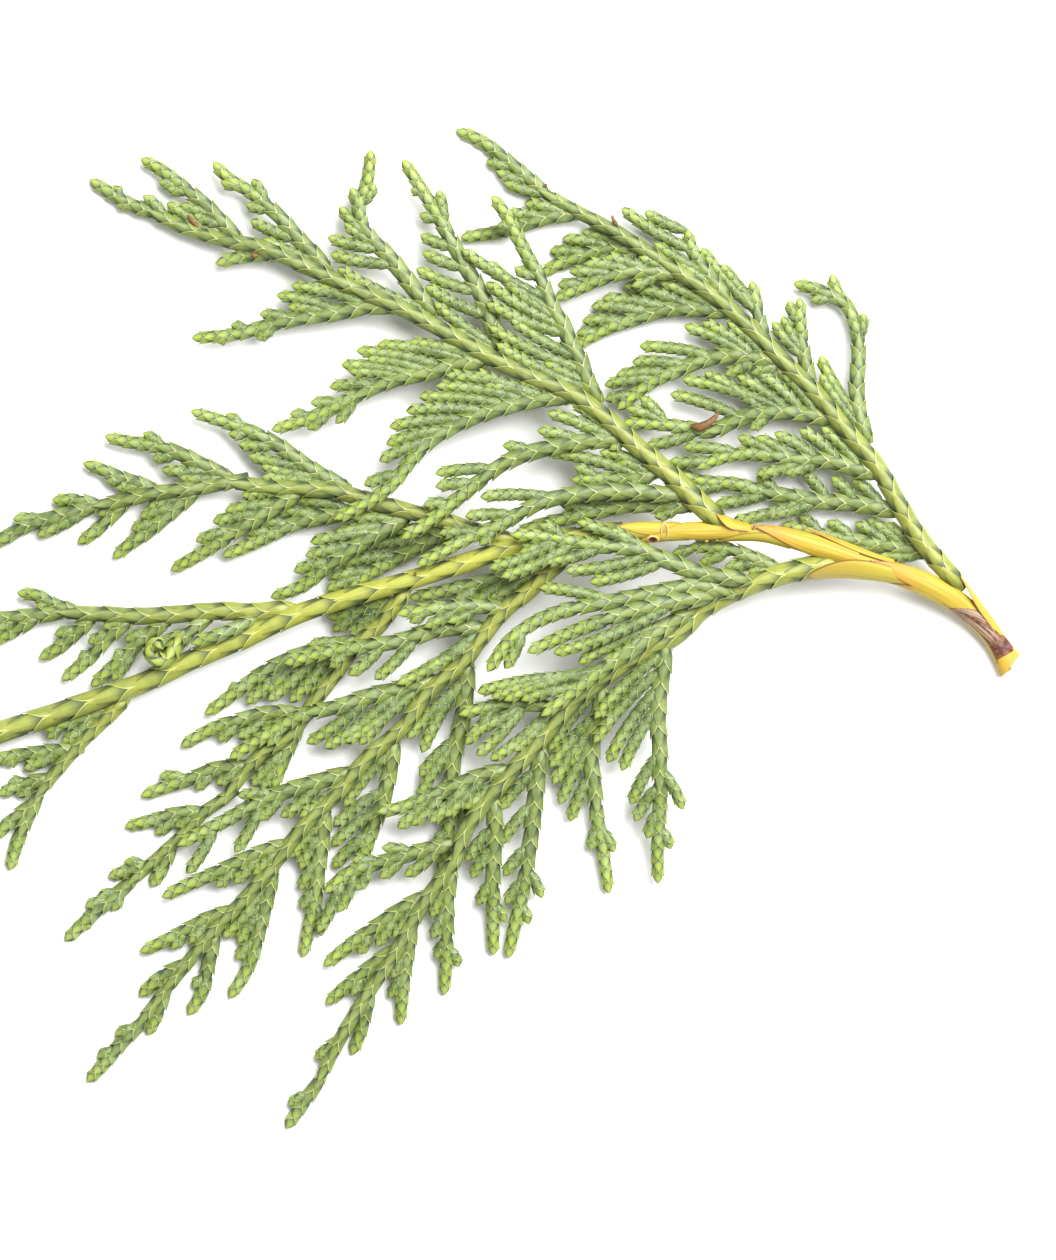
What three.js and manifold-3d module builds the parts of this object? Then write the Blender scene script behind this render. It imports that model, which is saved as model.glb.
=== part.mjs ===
// A cut cedar sprig lying on a table: one arching stem with eight side branches, each carrying
// flat sprays of scale-leaved twigs. Millimetres, +Z up, seen from above with the cut end right.
import * as THREE from 'three';
import Module from 'manifold-3d';

const wasm = await Module();
wasm.setup();

// The photo looks straight down, so its pixel grid is the plan grid.
const PIXEL_MM = 0.15;
const PLAN_CENTRE_X_PX = 390;
const PLAN_CENTRE_Y_PX = 628;
const TABLE_Z = 0.28;

// Half-widths are evenly spaced from root to tip.
const SHOOT_HALF_WIDTH = [0.95, 0.85, 0.8, 0.5];
const TWIG_HALF_WIDTH = [0.72, 0.55];
const SPRAY_THICKNESS = 1;
const OUTLINE_DETAIL = 0.85;
const FINE_STEP = 0.3;
const DROOP_REACH = 5;
const TWIG_DROOP = 0.15;
const TWIG_LEAN_DEG = [24, 40];
const BACKWARD_DEG = 90;
const LEAN_STEPS = 20;
const LAST_ROOT_STEPS = 3;
const STEM_ROUNDNESS = 0.92;
const PIECE_GAP = 0.3;
const SIMPLIFY = 0.16;

// A stem's cross-section, across and up, in half-widths and half-thicknesses.
const ROUND = [[1, 0], [0.5, 0.87], [-0.5, 0.87], [-1, 0], [-0.5, -0.87], [0.5, -0.87]];

const MAIN = 'main_stem';
const STEM_YELLOW = 0xd8ae45;
const BRANCH_GREEN = 0x9aa843;
const SPRAY_GREEN = 0x6e9440;

// Pieces cut back where they would touch the ones listed.
const BRUSHES = {
  branch_a_left_spray_3: ['branch_a_left_spray_4'],
  branch_e_stem: ['branch_e_low_spray_1'],
  branch_b_up_spray_2: ['branch_b_up_spray_3'],
  branch_b_low_spray_2: ['branch_b_low_spray_3'],
  branch_b_low_spray_3: ['branch_b_up_spray_1'],
  branch_b_low_spray_4: ['branch_b_low_spray_3', 'branch_b_stem'],
  branch_f_low_spray_1: ['branch_f_low_spray_2'],
  branch_f_low_spray_3: ['branch_f_low_spray_2', 'branch_f_stem'],
  branch_c_right_spray_3: ['branch_c_right_spray_2'],
};

// The stems: [piece, route of [x px, y px, height mm], widths in px evenly spaced along it].
const STEMS = [
  ["main_stem", [[1010, 664, 2.0], [998, 643, 2.2], [983, 624, 2.7], [963, 606, 3.4], [936, 589, 4.4], [903, 574, 5.4],
    [868, 563, 6.2], [838, 553, 6.8], [800, 542, 7.2], [765, 533, 7.6], [740, 531, 7.8], [700, 531, 8.0], [660, 531, 8.0],
    [620, 531, 8.0], [570, 537, 7.9], [515, 547, 7.5], [450, 568, 6.9], [400, 583, 6.5], [340, 600, 6.0], [290, 617, 5.5],
    [240, 640, 5.0], [200, 656, 4.6], [140, 684, 4.0], [80, 705, 3.5], [18, 726, 3.1], [-40, 745, 2.8]],
    [27, 23, 19, 20, 23, 22, 21, 22, 22, 19, 17, 18, 18, 18, 18, 18, 18, 18, 18, 19, 19, 20, 20, 20, 21, 21]],
  ["branch_a_stem", [[955, 580, 4.6], [947, 571, 4.9], [932, 554, 5.1], [917, 534, 5.2], [897, 501, 5.4], [877, 466, 5.4],
    [847, 431, 5.4], [814, 391, 5.2], [781, 359, 5.0], [751, 328, 4.8], [702, 287, 4.4], [660, 260, 4.0]], [19, 14]],
  ["branch_a_tip", [[657, 258, 4.0], [620, 234, 3.6], [575, 210, 3.0], [541, 191, 2.4]], [14, 12]],
  ["branch_b_stem", [[717, 519, 8.4], [704, 508, 8.7], [672, 477, 8.8], [637, 447, 8.6], [608, 420, 8.4], [574, 395, 8.0],
    [530, 376, 7.6], [490, 357, 7.2], [449, 334, 6.8], [400, 308, 6.2], [350, 287, 5.6]], [22, 17, 16, 14]],
  ["branch_b_tip", [[347, 285, 5.6], [300, 264, 5.0], [260, 247, 4.4], [220, 239, 3.6], [190, 230, 3.0], [150, 212, 2.2]], [15, 13]],
  ["branch_c_stem", [[832, 564, 6.8], [800, 570, 7.0], [757, 582, 7.2], [738, 590, 7.2], [703, 609, 7.1], [674, 637, 7.0],
    [650, 648, 6.9], [600, 680, 6.6], [575, 699, 6.4], [545, 734, 6.1], [510, 774, 5.8], [480, 809, 5.5], [464, 834, 5.2],
    [454, 860, 4.8]], [22, 18, 16, 14]],
  ["branch_c_tip", [[453, 863, 4.8], [425, 901, 4.4], [396, 951, 3.6], [363, 1001, 2.8], [339, 1041, 2.2], [319, 1081, 1.6]], [14, 12]],
  ["branch_d_stem", [[560, 563, 6.8], [545, 575, 6.6], [530, 590, 6.4], [505, 610, 6.2], [480, 640, 5.8], [465, 660, 5.6],
    [430, 690, 5.2], [400, 730, 4.8], [370, 755, 4.6], [340, 790, 4.2], [305, 825, 3.8], [273, 866, 3.2]], [16, 14]],
  ["branch_d_tip", [[271, 869, 3.2], [243, 901, 2.8], [213, 931, 2.4], [188, 962, 2.0], [163, 993, 1.6], [138, 1026, 1.3]], [14, 11]],
  ["branch_e_stem", [[402, 597, 5.4], [395, 605, 5.0], [380, 625, 4.4], [360, 642, 4.0], [335, 675, 3.6], [315, 700, 3.3],
    [290, 735, 3.0], [260, 755, 2.7], [240, 778, 2.4], [225, 797, 2.2]], [15, 12]],
  ["branch_e_tip", [[222, 800, 2.2], [203, 813, 2.0], [186, 832, 1.8], [168, 848, 1.6], [147, 867, 1.4], [128, 884, 1.2]], [12, 11]],
  ["branch_f_stem", [[508, 540, 7.0], [475, 531, 6.4], [450, 523, 5.9], [400, 509, 5.2], [370, 501, 4.8], [340, 492, 4.6],
    [300, 488, 4.4], [260, 487, 4.1], [230, 482, 3.9]], [16, 15]],
  ["branch_f_tip", [[227, 482, 3.9], [200, 487, 3.6], [180, 490, 3.6], [150, 494, 3.2], [120, 501, 2.8], [95, 506, 2.4]], [15, 13]],
  ["branch_g", [[284, 609, 5.4], [260, 612, 5.0], [220, 611, 4.6], [180, 614, 4.2], [140, 616, 3.8], [100, 614, 3.4], [60, 613, 3.0]], [18, 17, 14]],
  ["branch_h", [[121, 703, 3.4], [106, 718, 3.0], [87, 736, 2.6], [52, 776, 2.0], [36, 796, 1.6]], [15, 12]],
  ["leader_tip", [[-43, 746, 2.8], [-90, 760, 2.5], [-140, 776, 2.1], [-185, 792, 1.6]], [18, 12]],
];

// The sprays: [piece, route of the shoot in px, its heights in mm evenly spaced along it, the tips
// of its twigs in px, each with its root in px where the twig runs close beside the shoot].
const SPRAYS = [
  ["branch_a_right_spray", [[868, 438], [861, 420], [857, 390], [859, 350], [856, 325], [847, 305], [838, 293], [832, 274]], [4.8, 2.0],
    [[820, 356], [821, 374], [864, 313, 858, 342]]],
  ["branch_a_right_spray", [[847, 305], [831, 295], [813, 288], [794, 283]], [2.9, 2.4], [[811, 299]]],
  ["branch_a_stem", [[812, 388], [806, 365], [802, 340], [800, 320], [800, 298]], [4.6, 3.6], [[789, 301], [783, 317], [773, 322, 798, 358]]],
  ["branch_a_stem", [[765, 338], [758, 315], [755, 298], [752, 281]], [4.6, 3.6], [[702, 248, 750, 312], [722, 264, 755, 303], [737, 283]]],
  ["branch_a_stem", [[728, 300], [712, 280], [700, 263], [691, 246], [688, 230]], [4.8, 3.6],
    [[622, 208, 693, 250], [645, 211, 672, 235], [655, 243, 705, 272], [680, 262, 715, 285]]],
  ["branch_a_stem", [[931, 554], [900, 548], [870, 543], [840, 538], [805, 530], [783, 524]], [4.0, 1.4],
    [[800, 516], [828, 521], [856, 523], [868, 519, 908, 548], [886, 524, 920, 552], [880, 556, 925, 555], [815, 547], [848, 552]]],
  ["branch_a_left_spray_1", [[903, 512], [880, 508], [850, 503], [820, 501], [790, 496], [760, 491], [740, 485], [690, 477], [674, 466]],
    [4.6, 3.2, 2.2], [[733, 521, 806, 503], [716, 503], [768, 515], [757, 477], [803, 472, 830, 500], [832, 477, 858, 502], [852, 478, 884, 506], [690, 490, 728, 485]]],
  ["branch_a_left_spray_2", [[882, 474], [860, 470], [830, 461], [800, 460], [770, 455], [740, 454], [712, 461], [697, 468]], [5.2, 4.0],
    [[684, 447], [738, 437], [757, 437], [775, 433, 820, 459], [800, 429, 842, 463], [822, 427, 862, 470], [842, 438, 878, 474], [757, 474], [785, 473], [670, 461, 715, 459]]],
  ["branch_a_left_spray_3", [[834, 420], [810, 415], [780, 411], [750, 415], [730, 423], [712, 431], [690, 428], [660, 424], [623, 423]],
    [5.0, 3.8], [[671, 394, 740, 415], [683, 379], [705, 373, 765, 408], [738, 376, 790, 408], [760, 372, 805, 411], [778, 368, 818, 415], [627, 408, 668, 421], [646, 446, 700, 431], [641, 397, 668, 420], [750, 429]]],
  ["branch_a_left_spray_4", [[776, 362], [750, 356], [720, 356], [700, 361], [680, 369], [655, 380], [635, 394], [618, 409]], [4.7, 3.4],
    [[685, 326, 748, 350], [703, 322, 757, 352], [728, 322, 768, 356], [640, 346], [633, 362], [617, 375], [605, 385], [606, 400, 635, 395], [725, 374], [752, 372]]],
  ["branch_a_left_spray_5", [[731, 313], [700, 309], [670, 309], [640, 317], [610, 327], [590, 337], [575, 346]], [4.0, 2.8, 2.2],
    [[660, 281], [685, 291], [625, 285], [603, 298], [592, 306], [583, 321], [577, 334]]],
  ["branch_a_left_spray_6", [[676, 275], [650, 271], [620, 273], [600, 279], [575, 290], [555, 299]], [4.0, 4.6, 3.9],
    [[605, 257], [585, 263], [570, 272], [558, 285], [632, 286], [640, 257]]],
  ["branch_a_tip", [[648, 250], [620, 249], [600, 250], [575, 258], [550, 268], [541, 275]], [3.2, 1.8, 1.2], [[583, 231], [563, 238], [550, 251], [608, 236], [590, 267], [615, 262]]],
  ["branch_a_tip", [[578, 214], [550, 216], [530, 222], [500, 231], [461, 237]], [2.8, 1.8], [[525, 203], [507, 213]]],
  ["branch_a_tip", [[545, 192], [522, 173], [502, 156], [482, 141], [457, 129]], [2.4, 1.0], [[505, 182], [497, 171], [487, 160]]],
  ["branch_b_up_spray_1", [[598, 398], [589, 385], [580, 360], [571, 345], [563, 325], [553, 310], [541, 280], [532, 265], [519, 240], [506, 215], [492, 196]],
    [7.8, 7.9, 7.0, 5.6], [[463, 250, 545, 300], [488, 262, 552, 315], [505, 280, 556, 322], [487, 283, 562, 330], [487, 303], [511, 319, 580, 357], [490, 327], [497, 344], [515, 268, 535, 282], [498, 224], [545, 362], [510, 366]]],
  ["branch_b_up_spray_2", [[497, 345], [487, 308], [475, 283], [463, 262], [451, 240], [439, 218], [426, 196], [414, 177], [403, 160]], [6.2, 5.0, 3.6],
    [[411, 189], [420, 214], [421, 235], [423, 252], [417, 269], [426, 286], [435, 303], [455, 329], [438, 190, 446, 226]]],
  ["branch_b_up_spray_3", [[433, 312], [420, 297], [405, 277], [386, 253], [371, 238], [361, 222], [359, 205], [366, 186], [371, 150]], [5.2, 4.6, 3.4],
    [[328, 237, 380, 250], [331, 254, 393, 265], [338, 268], [340, 207], [351, 188], [375, 184, 363, 207], [345, 223, 375, 245], [352, 279]]],
  ["branch_b_tip", [[327, 268], [312, 252], [297, 237], [282, 219], [266, 204], [252, 193], [225, 175], [213, 162]], [4.6, 3.0],
    [[221, 181], [246, 204], [251, 220, 297, 243], [264, 239], [252, 179]]],
  ["branch_b_tip", [[238, 238], [217, 217], [201, 201], [187, 190], [160, 169], [141, 158]], [3.6, 2.0], [[159, 181], [167, 187], [181, 204], [194, 214]]],
  ["branch_b_tip", [[285, 255], [255, 255], [240, 257], [216, 263]], [4.2, 3.2], [[236, 249]]],
  ["branch_b_tip", [[215, 237], [190, 229], [165, 217], [150, 211]], [3.4, 2.2], [[143, 195, 166, 217], [167, 203, 205, 233]]],
  ["branch_b_tip", [[152, 213], [126, 202], [106, 190], [90, 179]], [2.2, 1.0], [[117, 204], [113, 185]]],
  ["branch_b_low_spray_1", [[396, 308], [370, 306], [340, 312], [300, 318], [270, 325], [240, 333], [192, 338]], [5.6, 3.4],
    [[312, 284], [292, 286], [277, 295], [288, 307, 330, 313], [260, 314], [231, 325], [340, 290], [257, 339], [217, 342]]],
  ["branch_b_low_spray_2", [[486, 361], [460, 363], [430, 372], [400, 378], [370, 389], [350, 399], [320, 414], [272, 430]], [6.8, 4.8],
    [[410, 342], [378, 345], [357, 351], [368, 359], [342, 365], [350, 372], [330, 387], [311, 403], [290, 414], [336, 423, 358, 400], [308, 429, 332, 410], [440, 345]]],
  ["branch_b_low_spray_3", [[571, 398], [550, 398], [520, 403], [490, 411], [460, 423], [430, 441], [410, 461], [395, 481], [370, 501], [335, 519]],
    [7.6, 7.4, 7.3, 6.9], [[447, 375], [437, 386], [420, 397], [407, 411], [390, 427], [387, 444], [380, 461], [365, 485], [485, 385], [520, 382], [474, 373, 530, 393]]],
  ["branch_b_low_spray_4", [[618, 440], [590, 441], [560, 446], [530, 453], [500, 466], [480, 481], [455, 501], [430, 521], [402, 538]],
    [8.2, 7.7, 7.7], [[503, 446], [538, 431], [436, 474], [436, 487], [424, 505], [548, 413, 612, 432], [572, 402, 618, 430], [575, 424], [610, 450]]],
  ["branch_b_stem", [[657, 473], [625, 479], [600, 479], [572, 480]], [8.2, 7.0], [[600, 452], [548, 452, 640, 474], [575, 467], [590, 490], [620, 462], [622, 486, 660, 480]]],
  ["branch_b_low_spray_5", [[678, 496], [630, 492], [600, 492], [568, 496], [542, 502], [517, 515], [500, 525], [470, 537], [441, 553], [418, 565]],
    [8.8, 9.4], [[481, 497], [466, 517], [440, 534], [480, 545]]],
  ["branch_b_low_spray_6", [[694, 506], [660, 505], [630, 505], [600, 511], [570, 518], [540, 525], [515, 534]], [7.8, 5.4], [[560, 504], [585, 499], [625, 493], [655, 517]]],
  ["branch_f_up_spray_1", [[345, 486], [325, 477], [302, 463], [282, 448], [257, 434], [231, 424], [191, 411]], [4.6, 3.0],
    [[229, 434], [239, 444], [249, 455], [262, 466], [278, 476], [262, 477, 318, 478], [226, 414, 244, 427]]],
  ["branch_f_up_spray_2", [[226, 475], [205, 466], [185, 456], [165, 448], [145, 444], [125, 441], [105, 436]], [4.0, 2.4], [[152, 458], [162, 469], [180, 477], [143, 433]]],
  ["branch_f_tip", [[155, 489], [135, 482], [119, 477], [100, 469], [83, 463]], [3.0, 1.8], [[116, 487], [106, 480]]],
  ["branch_f_tip", [[97, 504], [75, 500], [52, 500]], [2.4, 1.8], []],
  ["branch_f_tip", [[93, 507], [60, 516], [25, 526], [0, 540], [-42, 556]], [2.4, 1.2], [[13, 519], [37, 535, 88, 510], [-22, 536]]],
  ["branch_f_tip", [[196, 492], [178, 506], [163, 519], [147, 532], [128, 545], [113, 558]], [3.4, 1.6], [[148, 507], [140, 517], [131, 529]]],
  ["branch_f_tip", [[125, 504], [111, 516], [96, 530], [78, 543]], [2.6, 1.2], [[98, 515]]],
  ["branch_f_low_spray_1", [[300, 493], [275, 506], [250, 522], [228, 536], [200, 554], [171, 570]], [4.2, 4.2, 3.6, 2.2], [[242, 496], [226, 511], [213, 522], [196, 541, 234, 530]]],
  ["branch_f_low_spray_2", [[365, 507], [345, 513], [320, 518], [300, 522], [280, 530], [260, 540], [223, 556]], [4.2, 2.9, 2.4], [[298, 499, 350, 507], [275, 510], [256, 522, 290, 525], [247, 533]]],
  ["branch_f_low_spray_3", [[408, 516], [380, 532], [352, 549], [324, 569], [302, 586], [271, 597]], [4.6, 5.0, 4.4, 3.2], [[335, 533], [311, 542], [306, 556], [294, 571], [352, 518, 398, 517]]],
  ["branch_f_stem", [[455, 530], [430, 541], [402, 556], [375, 571], [350, 586]], [5.6, 3.8, 2.6, 2.2], [[350, 548], [340, 563], [331, 577], [327, 590, 365, 575], [372, 533]]],
  ["branch_g", [[62, 613], [30, 616], [0, 619], [-30, 623], [-62, 631]], [3.0, 1.4], [[-35, 611], [-10, 633], [-38, 639]]],
  ["branch_g", [[78, 612], [50, 603], [35, 595], [17, 593]], [3.2, 2.2], [[36, 606]]],
  ["branch_g", [[258, 617], [225, 633], [192, 643]], [5.0, 7.0, 7.2, 6.8], []],
  ["branch_g", [[210, 616], [188, 634], [170, 655]], [4.4, 5.0, 5.0], [[149, 655, 190, 632], [160, 645]]],
  ["branch_g", [[168, 620], [145, 637], [125, 656], [106, 673], [91, 686]], [4.0, 2.6], [[125, 640], [113, 657], [112, 680, 138, 648]]],
  ["branch_g", [[130, 620], [108, 637], [92, 655], [76, 669], [62, 680]], [3.6, 2.2], [[88, 643], [78, 658], [103, 628]]],
  ["branch_g", [[92, 618], [72, 636], [55, 650], [39, 658]], [3.2, 1.8], [[55, 635]]],
  ["branch_g", [[37, 617], [15, 630], [-8, 642]], [2.8, 1.6], []],
  ["branch_h", [[115, 707], [95, 715], [70, 722], [44, 730]], [3.0, 2.2], [[47, 738], [62, 743]]],
  ["branch_h", [[78, 750], [45, 752], [10, 757], [-20, 764]], [2.4, 1.3], [[23, 768, 62, 755], [35, 764], [6, 765]]],
  ["branch_h", [[50, 778], [20, 785], [-2, 795]], [2.0, 1.2], [[18, 797], [8, 782]]],
  ["branch_h", [[34, 803], [12, 820], [-8, 838]], [1.6, 1.0], []],
  ["branch_h", [[38, 795], [26, 820], [16, 845], [9, 870]], [1.7, 0.9], []],
  ["branch_e_stem", [[392, 601], [372, 606], [350, 613], [328, 617]], [4.4, 2.4], [[327, 603], [333, 630], [350, 637, 380, 612], [365, 634, 388, 608]]],
  ["branch_e_low_spray_1", [[358, 640], [330, 647], [300, 655], [270, 668], [245, 685], [225, 700], [205, 714]], [3.8, 2.2],
    [[309, 645, 345, 640], [315, 668], [290, 679], [268, 691], [246, 703, 295, 663], [228, 689], [268, 700, 322, 655], [290, 702, 335, 655], [312, 698, 345, 650]]],
  ["branch_e_low_spray_2", [[302, 714], [270, 713], [240, 720], [210, 730], [181, 746]], [3.0, 1.8], [[218, 741], [238, 738], [262, 730]]],
  ["branch_e_low_spray_3", [[248, 766], [215, 769], [190, 779], [165, 787], [141, 796]], [2.4, 1.4], [[159, 776], [195, 789], [216, 784]]],
  ["branch_e_tip", [[205, 812], [175, 814], [150, 821], [125, 827]], [1.9, 1.1], [[155, 834], [175, 827]]],
  ["branch_e_tip", [[148, 866], [128, 871], [108, 877]], [1.4, 1.0], [[124, 862]]],
  ["branch_e_tip", [[130, 883], [112, 898], [92, 915], [65, 941]], [1.2, 0.8], [[97, 898], [85, 907], [112, 911], [84, 930]]],
  ["branch_e_tip", [[172, 846], [162, 868], [151, 887]], [1.5, 1.0], []],
  ["branch_e_stem", [[300, 722], [292, 740], [281, 765], [273, 788]], [2.8, 1.6], [[252, 786, 285, 748], [262, 789, 284, 762]]],
  ["branch_d_stem", [[540, 578], [505, 578], [475, 584], [440, 592], [410, 598]], [5.8, 4.2], [[455, 602], [470, 604], [490, 598]]],
  ["branch_d_stem", [[508, 609], [470, 606], [430, 609], [398, 614]], [6.2, 7.6, 7.6], [[410, 622], [425, 627], [448, 622]]],
  ["branch_d_low_spray_1", [[484, 628], [440, 629], [400, 641], [360, 647], [330, 652], [285, 663]], [5.6, 6.3, 6.3, 5.6], [[330, 667], [349, 675], [375, 679], [398, 684], [425, 669]]],
  ["branch_d_low_spray_2", [[437, 680], [400, 689], [370, 696], [340, 706], [300, 716], [281, 726], [255, 742], [230, 758]], [4.9, 5.1, 4.6, 4.0],
    [[360, 744, 405, 700], [345, 742], [325, 748], [307, 743, 372, 700], [268, 746]]],
  ["branch_d_low_spray_3", [[352, 772], [320, 781], [290, 790], [262, 801], [232, 817], [205, 831], [178, 845]], [4.2, 3.6],
    [[300, 816], [281, 817], [259, 820, 285, 795], [235, 852, 262, 801], [187, 873, 215, 825], [238, 796]]],
  ["branch_d_low_spray_4", [[290, 844], [265, 851], [240, 862], [215, 873], [190, 884], [162, 897]], [3.4, 2.8], [[253, 874], [234, 883], [216, 887]]],
  ["branch_d_tip", [[236, 910], [210, 918], [190, 928], [165, 941], [140, 952]], [2.6, 1.6], [[208, 936], [189, 943], [171, 949]]],
  ["branch_d_tip", [[188, 963], [167, 973], [139, 996]], [2.0, 1.1], [[160, 993]]],
  ["branch_d_tip", [[141, 1023], [124, 1040], [108, 1059], [87, 1082]], [1.3, 0.8], [[115, 1036], [97, 1058]]],
  ["branch_d_tip", [[215, 933], [208, 965], [203, 990], [188, 1015]], [2.2, 0.9], [[192, 988]]],
  ["branch_d_tip", [[166, 990], [155, 1018], [147, 1035]], [1.5, 0.9], []],
  ["branch_d_right_spray_1", [[468, 663], [466, 690], [462, 720], [455, 750], [450, 790], [448, 830], [442, 870], [438, 897]], [5.2, 1.6],
    [[408, 738, 467, 682], [422, 752], [420, 776, 456, 738], [418, 800], [430, 816], [434, 850], [470, 838]]],
  ["branch_d_right_spray_2", [[395, 740], [388, 780], [380, 810], [370, 835], [362, 860], [352, 890]], [4.4, 1.2],
    [[350, 789], [344, 806], [334, 826, 386, 790], [332, 846, 380, 810], [333, 868, 372, 832]]],
  ["branch_d_right_spray_3", [[325, 808], [322, 840], [318, 870], [315, 900], [308, 930], [303, 957]], [3.8, 1.0], [[290, 858, 324, 822], [300, 869], [300, 890], [301, 909], [321, 936, 316, 902]]],
  ["branch_d_right_spray_4", [[273, 873], [265, 905], [259, 930], [252, 957], [243, 977], [229, 998]], [2.8, 1.0], [[241, 920], [223, 938, 264, 905], [238, 943], [236, 960]]],
  ["branch_c_stem", [[775, 567], [760, 561], [735, 551], [715, 547], [690, 547]], [7.4, 6.0], [[700, 562], [725, 566], [748, 571], [673, 553]]],
  ["branch_c_up_spray", [[745, 580], [700, 573], [660, 558], [640, 550], [600, 546], [570, 541], [545, 537], [512, 535]], [9.4, 10.8],
    [[578, 522, 640, 550], [610, 530], [540, 524], [566, 571, 650, 556], [590, 582, 665, 562], [545, 562], [520, 552], [490, 568, 560, 540], [502, 577, 575, 543]]],
  ["branch_c_fan_1", [[728, 593], [700, 586], [660, 592], [620, 600], [590, 605], [560, 612], [530, 625], [510, 640], [488, 671]], [9.2, 10.6, 10.7], [[505, 668, 524, 630], [540, 588, 612, 602]]],
  ["branch_c_fan_1", [[712, 596], [670, 603], [620, 615], [575, 631], [528, 652]], [9.2, 10.6, 10.6, 10.4], [[554, 653, 675, 602]]],
  ["branch_c_fan_2", [[695, 610], [668, 625], [645, 641], [618, 659], [592, 677], [566, 697], [542, 715]], [7.8, 8.8, 9.0, 8.7],
    [[522, 700], [505, 700, 590, 655], [492, 697, 585, 655], [478, 692, 575, 650], [579, 663, 672, 622], [605, 665, 660, 631]]],
  ["branch_c_down_spray", [[665, 645], [664, 660], [660, 690], [658, 720], [660, 750], [660, 780], [660, 810], [658, 840], [658, 883]], [7.4, 6.8, 6.4, 5.6, 4.2, 2.6],
    [[595, 718, 664, 652], [594, 742, 662, 668], [608, 762, 660, 685], [622, 770, 658, 705], [631, 804, 660, 752], [635, 821, 660, 785], [647, 838, 660, 808], [683, 809, 660, 768], [671, 849, 659, 825]]],
  ["branch_c_stem", [[548, 706], [520, 703], [490, 707], [460, 714]], [6.6, 6.8], [[466, 744], [477, 755], [491, 760], [514, 751], [470, 732, 525, 706]]],
  ["branch_c_left_spray_1", [[506, 769], [480, 776], [455, 786], [430, 796], [400, 808], [378, 812]], [5.8, 5.2], [[465, 808], [445, 816], [430, 822], [412, 825], [398, 828]]],
  ["branch_c_left_spray_2", [[452, 843], [425, 850], [400, 857], [380, 863], [350, 872], [325, 893]], [4.8, 3.6],
    [[382, 848], [352, 860], [405, 876], [380, 878, 405, 858], [318, 932, 342, 876], [338, 912, 356, 870], [356, 890, 372, 866]]],
  ["branch_c_left_spray_3", [[427, 895], [402, 909], [378, 925], [354, 942], [324, 966]], [4.2, 2.4], [[393, 937], [376, 946], [358, 954]]],
  ["branch_c_tip", [[398, 947], [367, 970], [346, 987], [326, 1004]], [3.4, 1.6], [[368, 986], [352, 996]]],
  ["branch_c_tip", [[338, 1040], [327, 1050], [315, 1059]], [2.2, 1.6], []],
  ["branch_c_tip", [[320, 1080], [303, 1104], [286, 1128]], [1.7, 0.9], [[288, 1106]]],
  ["branch_c_tip", [[412, 925], [407, 955], [403, 985], [400, 1025]], [3.8, 1.1], [[392, 978], [390, 998]]],
  ["branch_c_tip", [[370, 990], [361, 1030], [352, 1055]], [2.8, 1.0], []],
  ["branch_c_right_spray_1", [[602, 690], [600, 710], [593, 740], [591, 760], [595, 790], [597, 815], [603, 850], [609, 893]], [5.8, 4.0, 3.2, 2.4, 1.6],
    [[549, 750], [550, 767], [553, 784], [560, 804], [570, 821], [571, 765, 596, 728], [591, 850], [614, 852, 600, 826]]],
  ["branch_c_right_spray_2", [[541, 750], [537, 780], [533, 820], [528, 860], [521, 900], [514, 930], [508, 958]], [5.6, 3.8, 1.6],
    [[501, 809, 539, 768], [501, 844, 535, 802], [504, 876, 530, 845], [506, 904, 525, 878], [542, 898, 527, 868], [529, 924, 520, 903]]],
  ["branch_c_right_spray_3", [[494, 802], [495, 830], [493, 870], [493, 910], [493, 955]], [5.6, 1.4], [[466, 861, 495, 826], [472, 878, 494, 845], [478, 905, 493, 880], [505, 922, 493, 902]]],
  ["branch_c_tip", [[452, 872], [447, 900], [447, 930], [446, 960], [444, 995]], [4.6, 1.2], [[431, 917], [433, 939], [436, 959], [459, 967, 447, 945]]],
  ["leader_tip", [[-60, 748], [-85, 716], [-110, 695], [-145, 678]], [2.6, 1.4], [[-112, 674], [-84, 690], [-130, 706], [-105, 718], [-80, 728]]],
  ["leader_tip", [[-110, 764], [-145, 742], [-180, 735], [-215, 735]], [2.3, 1.2], [[-185, 722], [-155, 725], [-188, 750], [-160, 752]]],
  ["leader_tip", [[-52, 750], [-68, 780], [-82, 815], [-90, 860]], [2.6, 1.2], [[-65, 838], [-58, 812], [-105, 835], [-100, 808], [-88, 785]]],
  ["leader_tip", [[-105, 766], [-128, 790], [-145, 822], [-158, 855]], [2.3, 1.2], [[-135, 838], [-122, 818], [-162, 828], [-155, 805]]],
  ["leader_tip", [[-155, 782], [-178, 802], [-198, 828]], [1.9, 1.1], [[-180, 825], [-195, 808]]],
  ["leader_tip", [[-180, 790], [-205, 800], [-240, 815]], [1.6, 0.9], [[-215, 788], [-212, 814], [-235, 800]]],
];

function plan([px, py, z]) {
  return [(px - PLAN_CENTRE_X_PX) * PIXEL_MM, (PLAN_CENTRE_Y_PX - py) * PIXEL_MM, z - TABLE_Z];
}

function distance(a, b) {
  return Math.hypot(b[0] - a[0], b[1] - a[1]);
}

function between(a, b, t) {
  return a.map((value, k) => value + (b[k] - value) * t);
}

// A value read from a list spaced evenly along a piece.
function along(values, t) {
  const place = Math.min(Math.max(t, 0), 1) * (values.length - 1);
  const first = Math.min(Math.floor(place), values.length - 2);
  return values[first] + (values[first + 1] - values[first]) * (place - first);
}

function solid(vertices, triangles) {
  const vertProperties = new Float32Array(vertices.flat());
  const triVerts = new Uint32Array(triangles.flat());
  return new wasm.Manifold(new wasm.Mesh({ numProp: 3, vertProperties, triVerts }));
}

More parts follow.
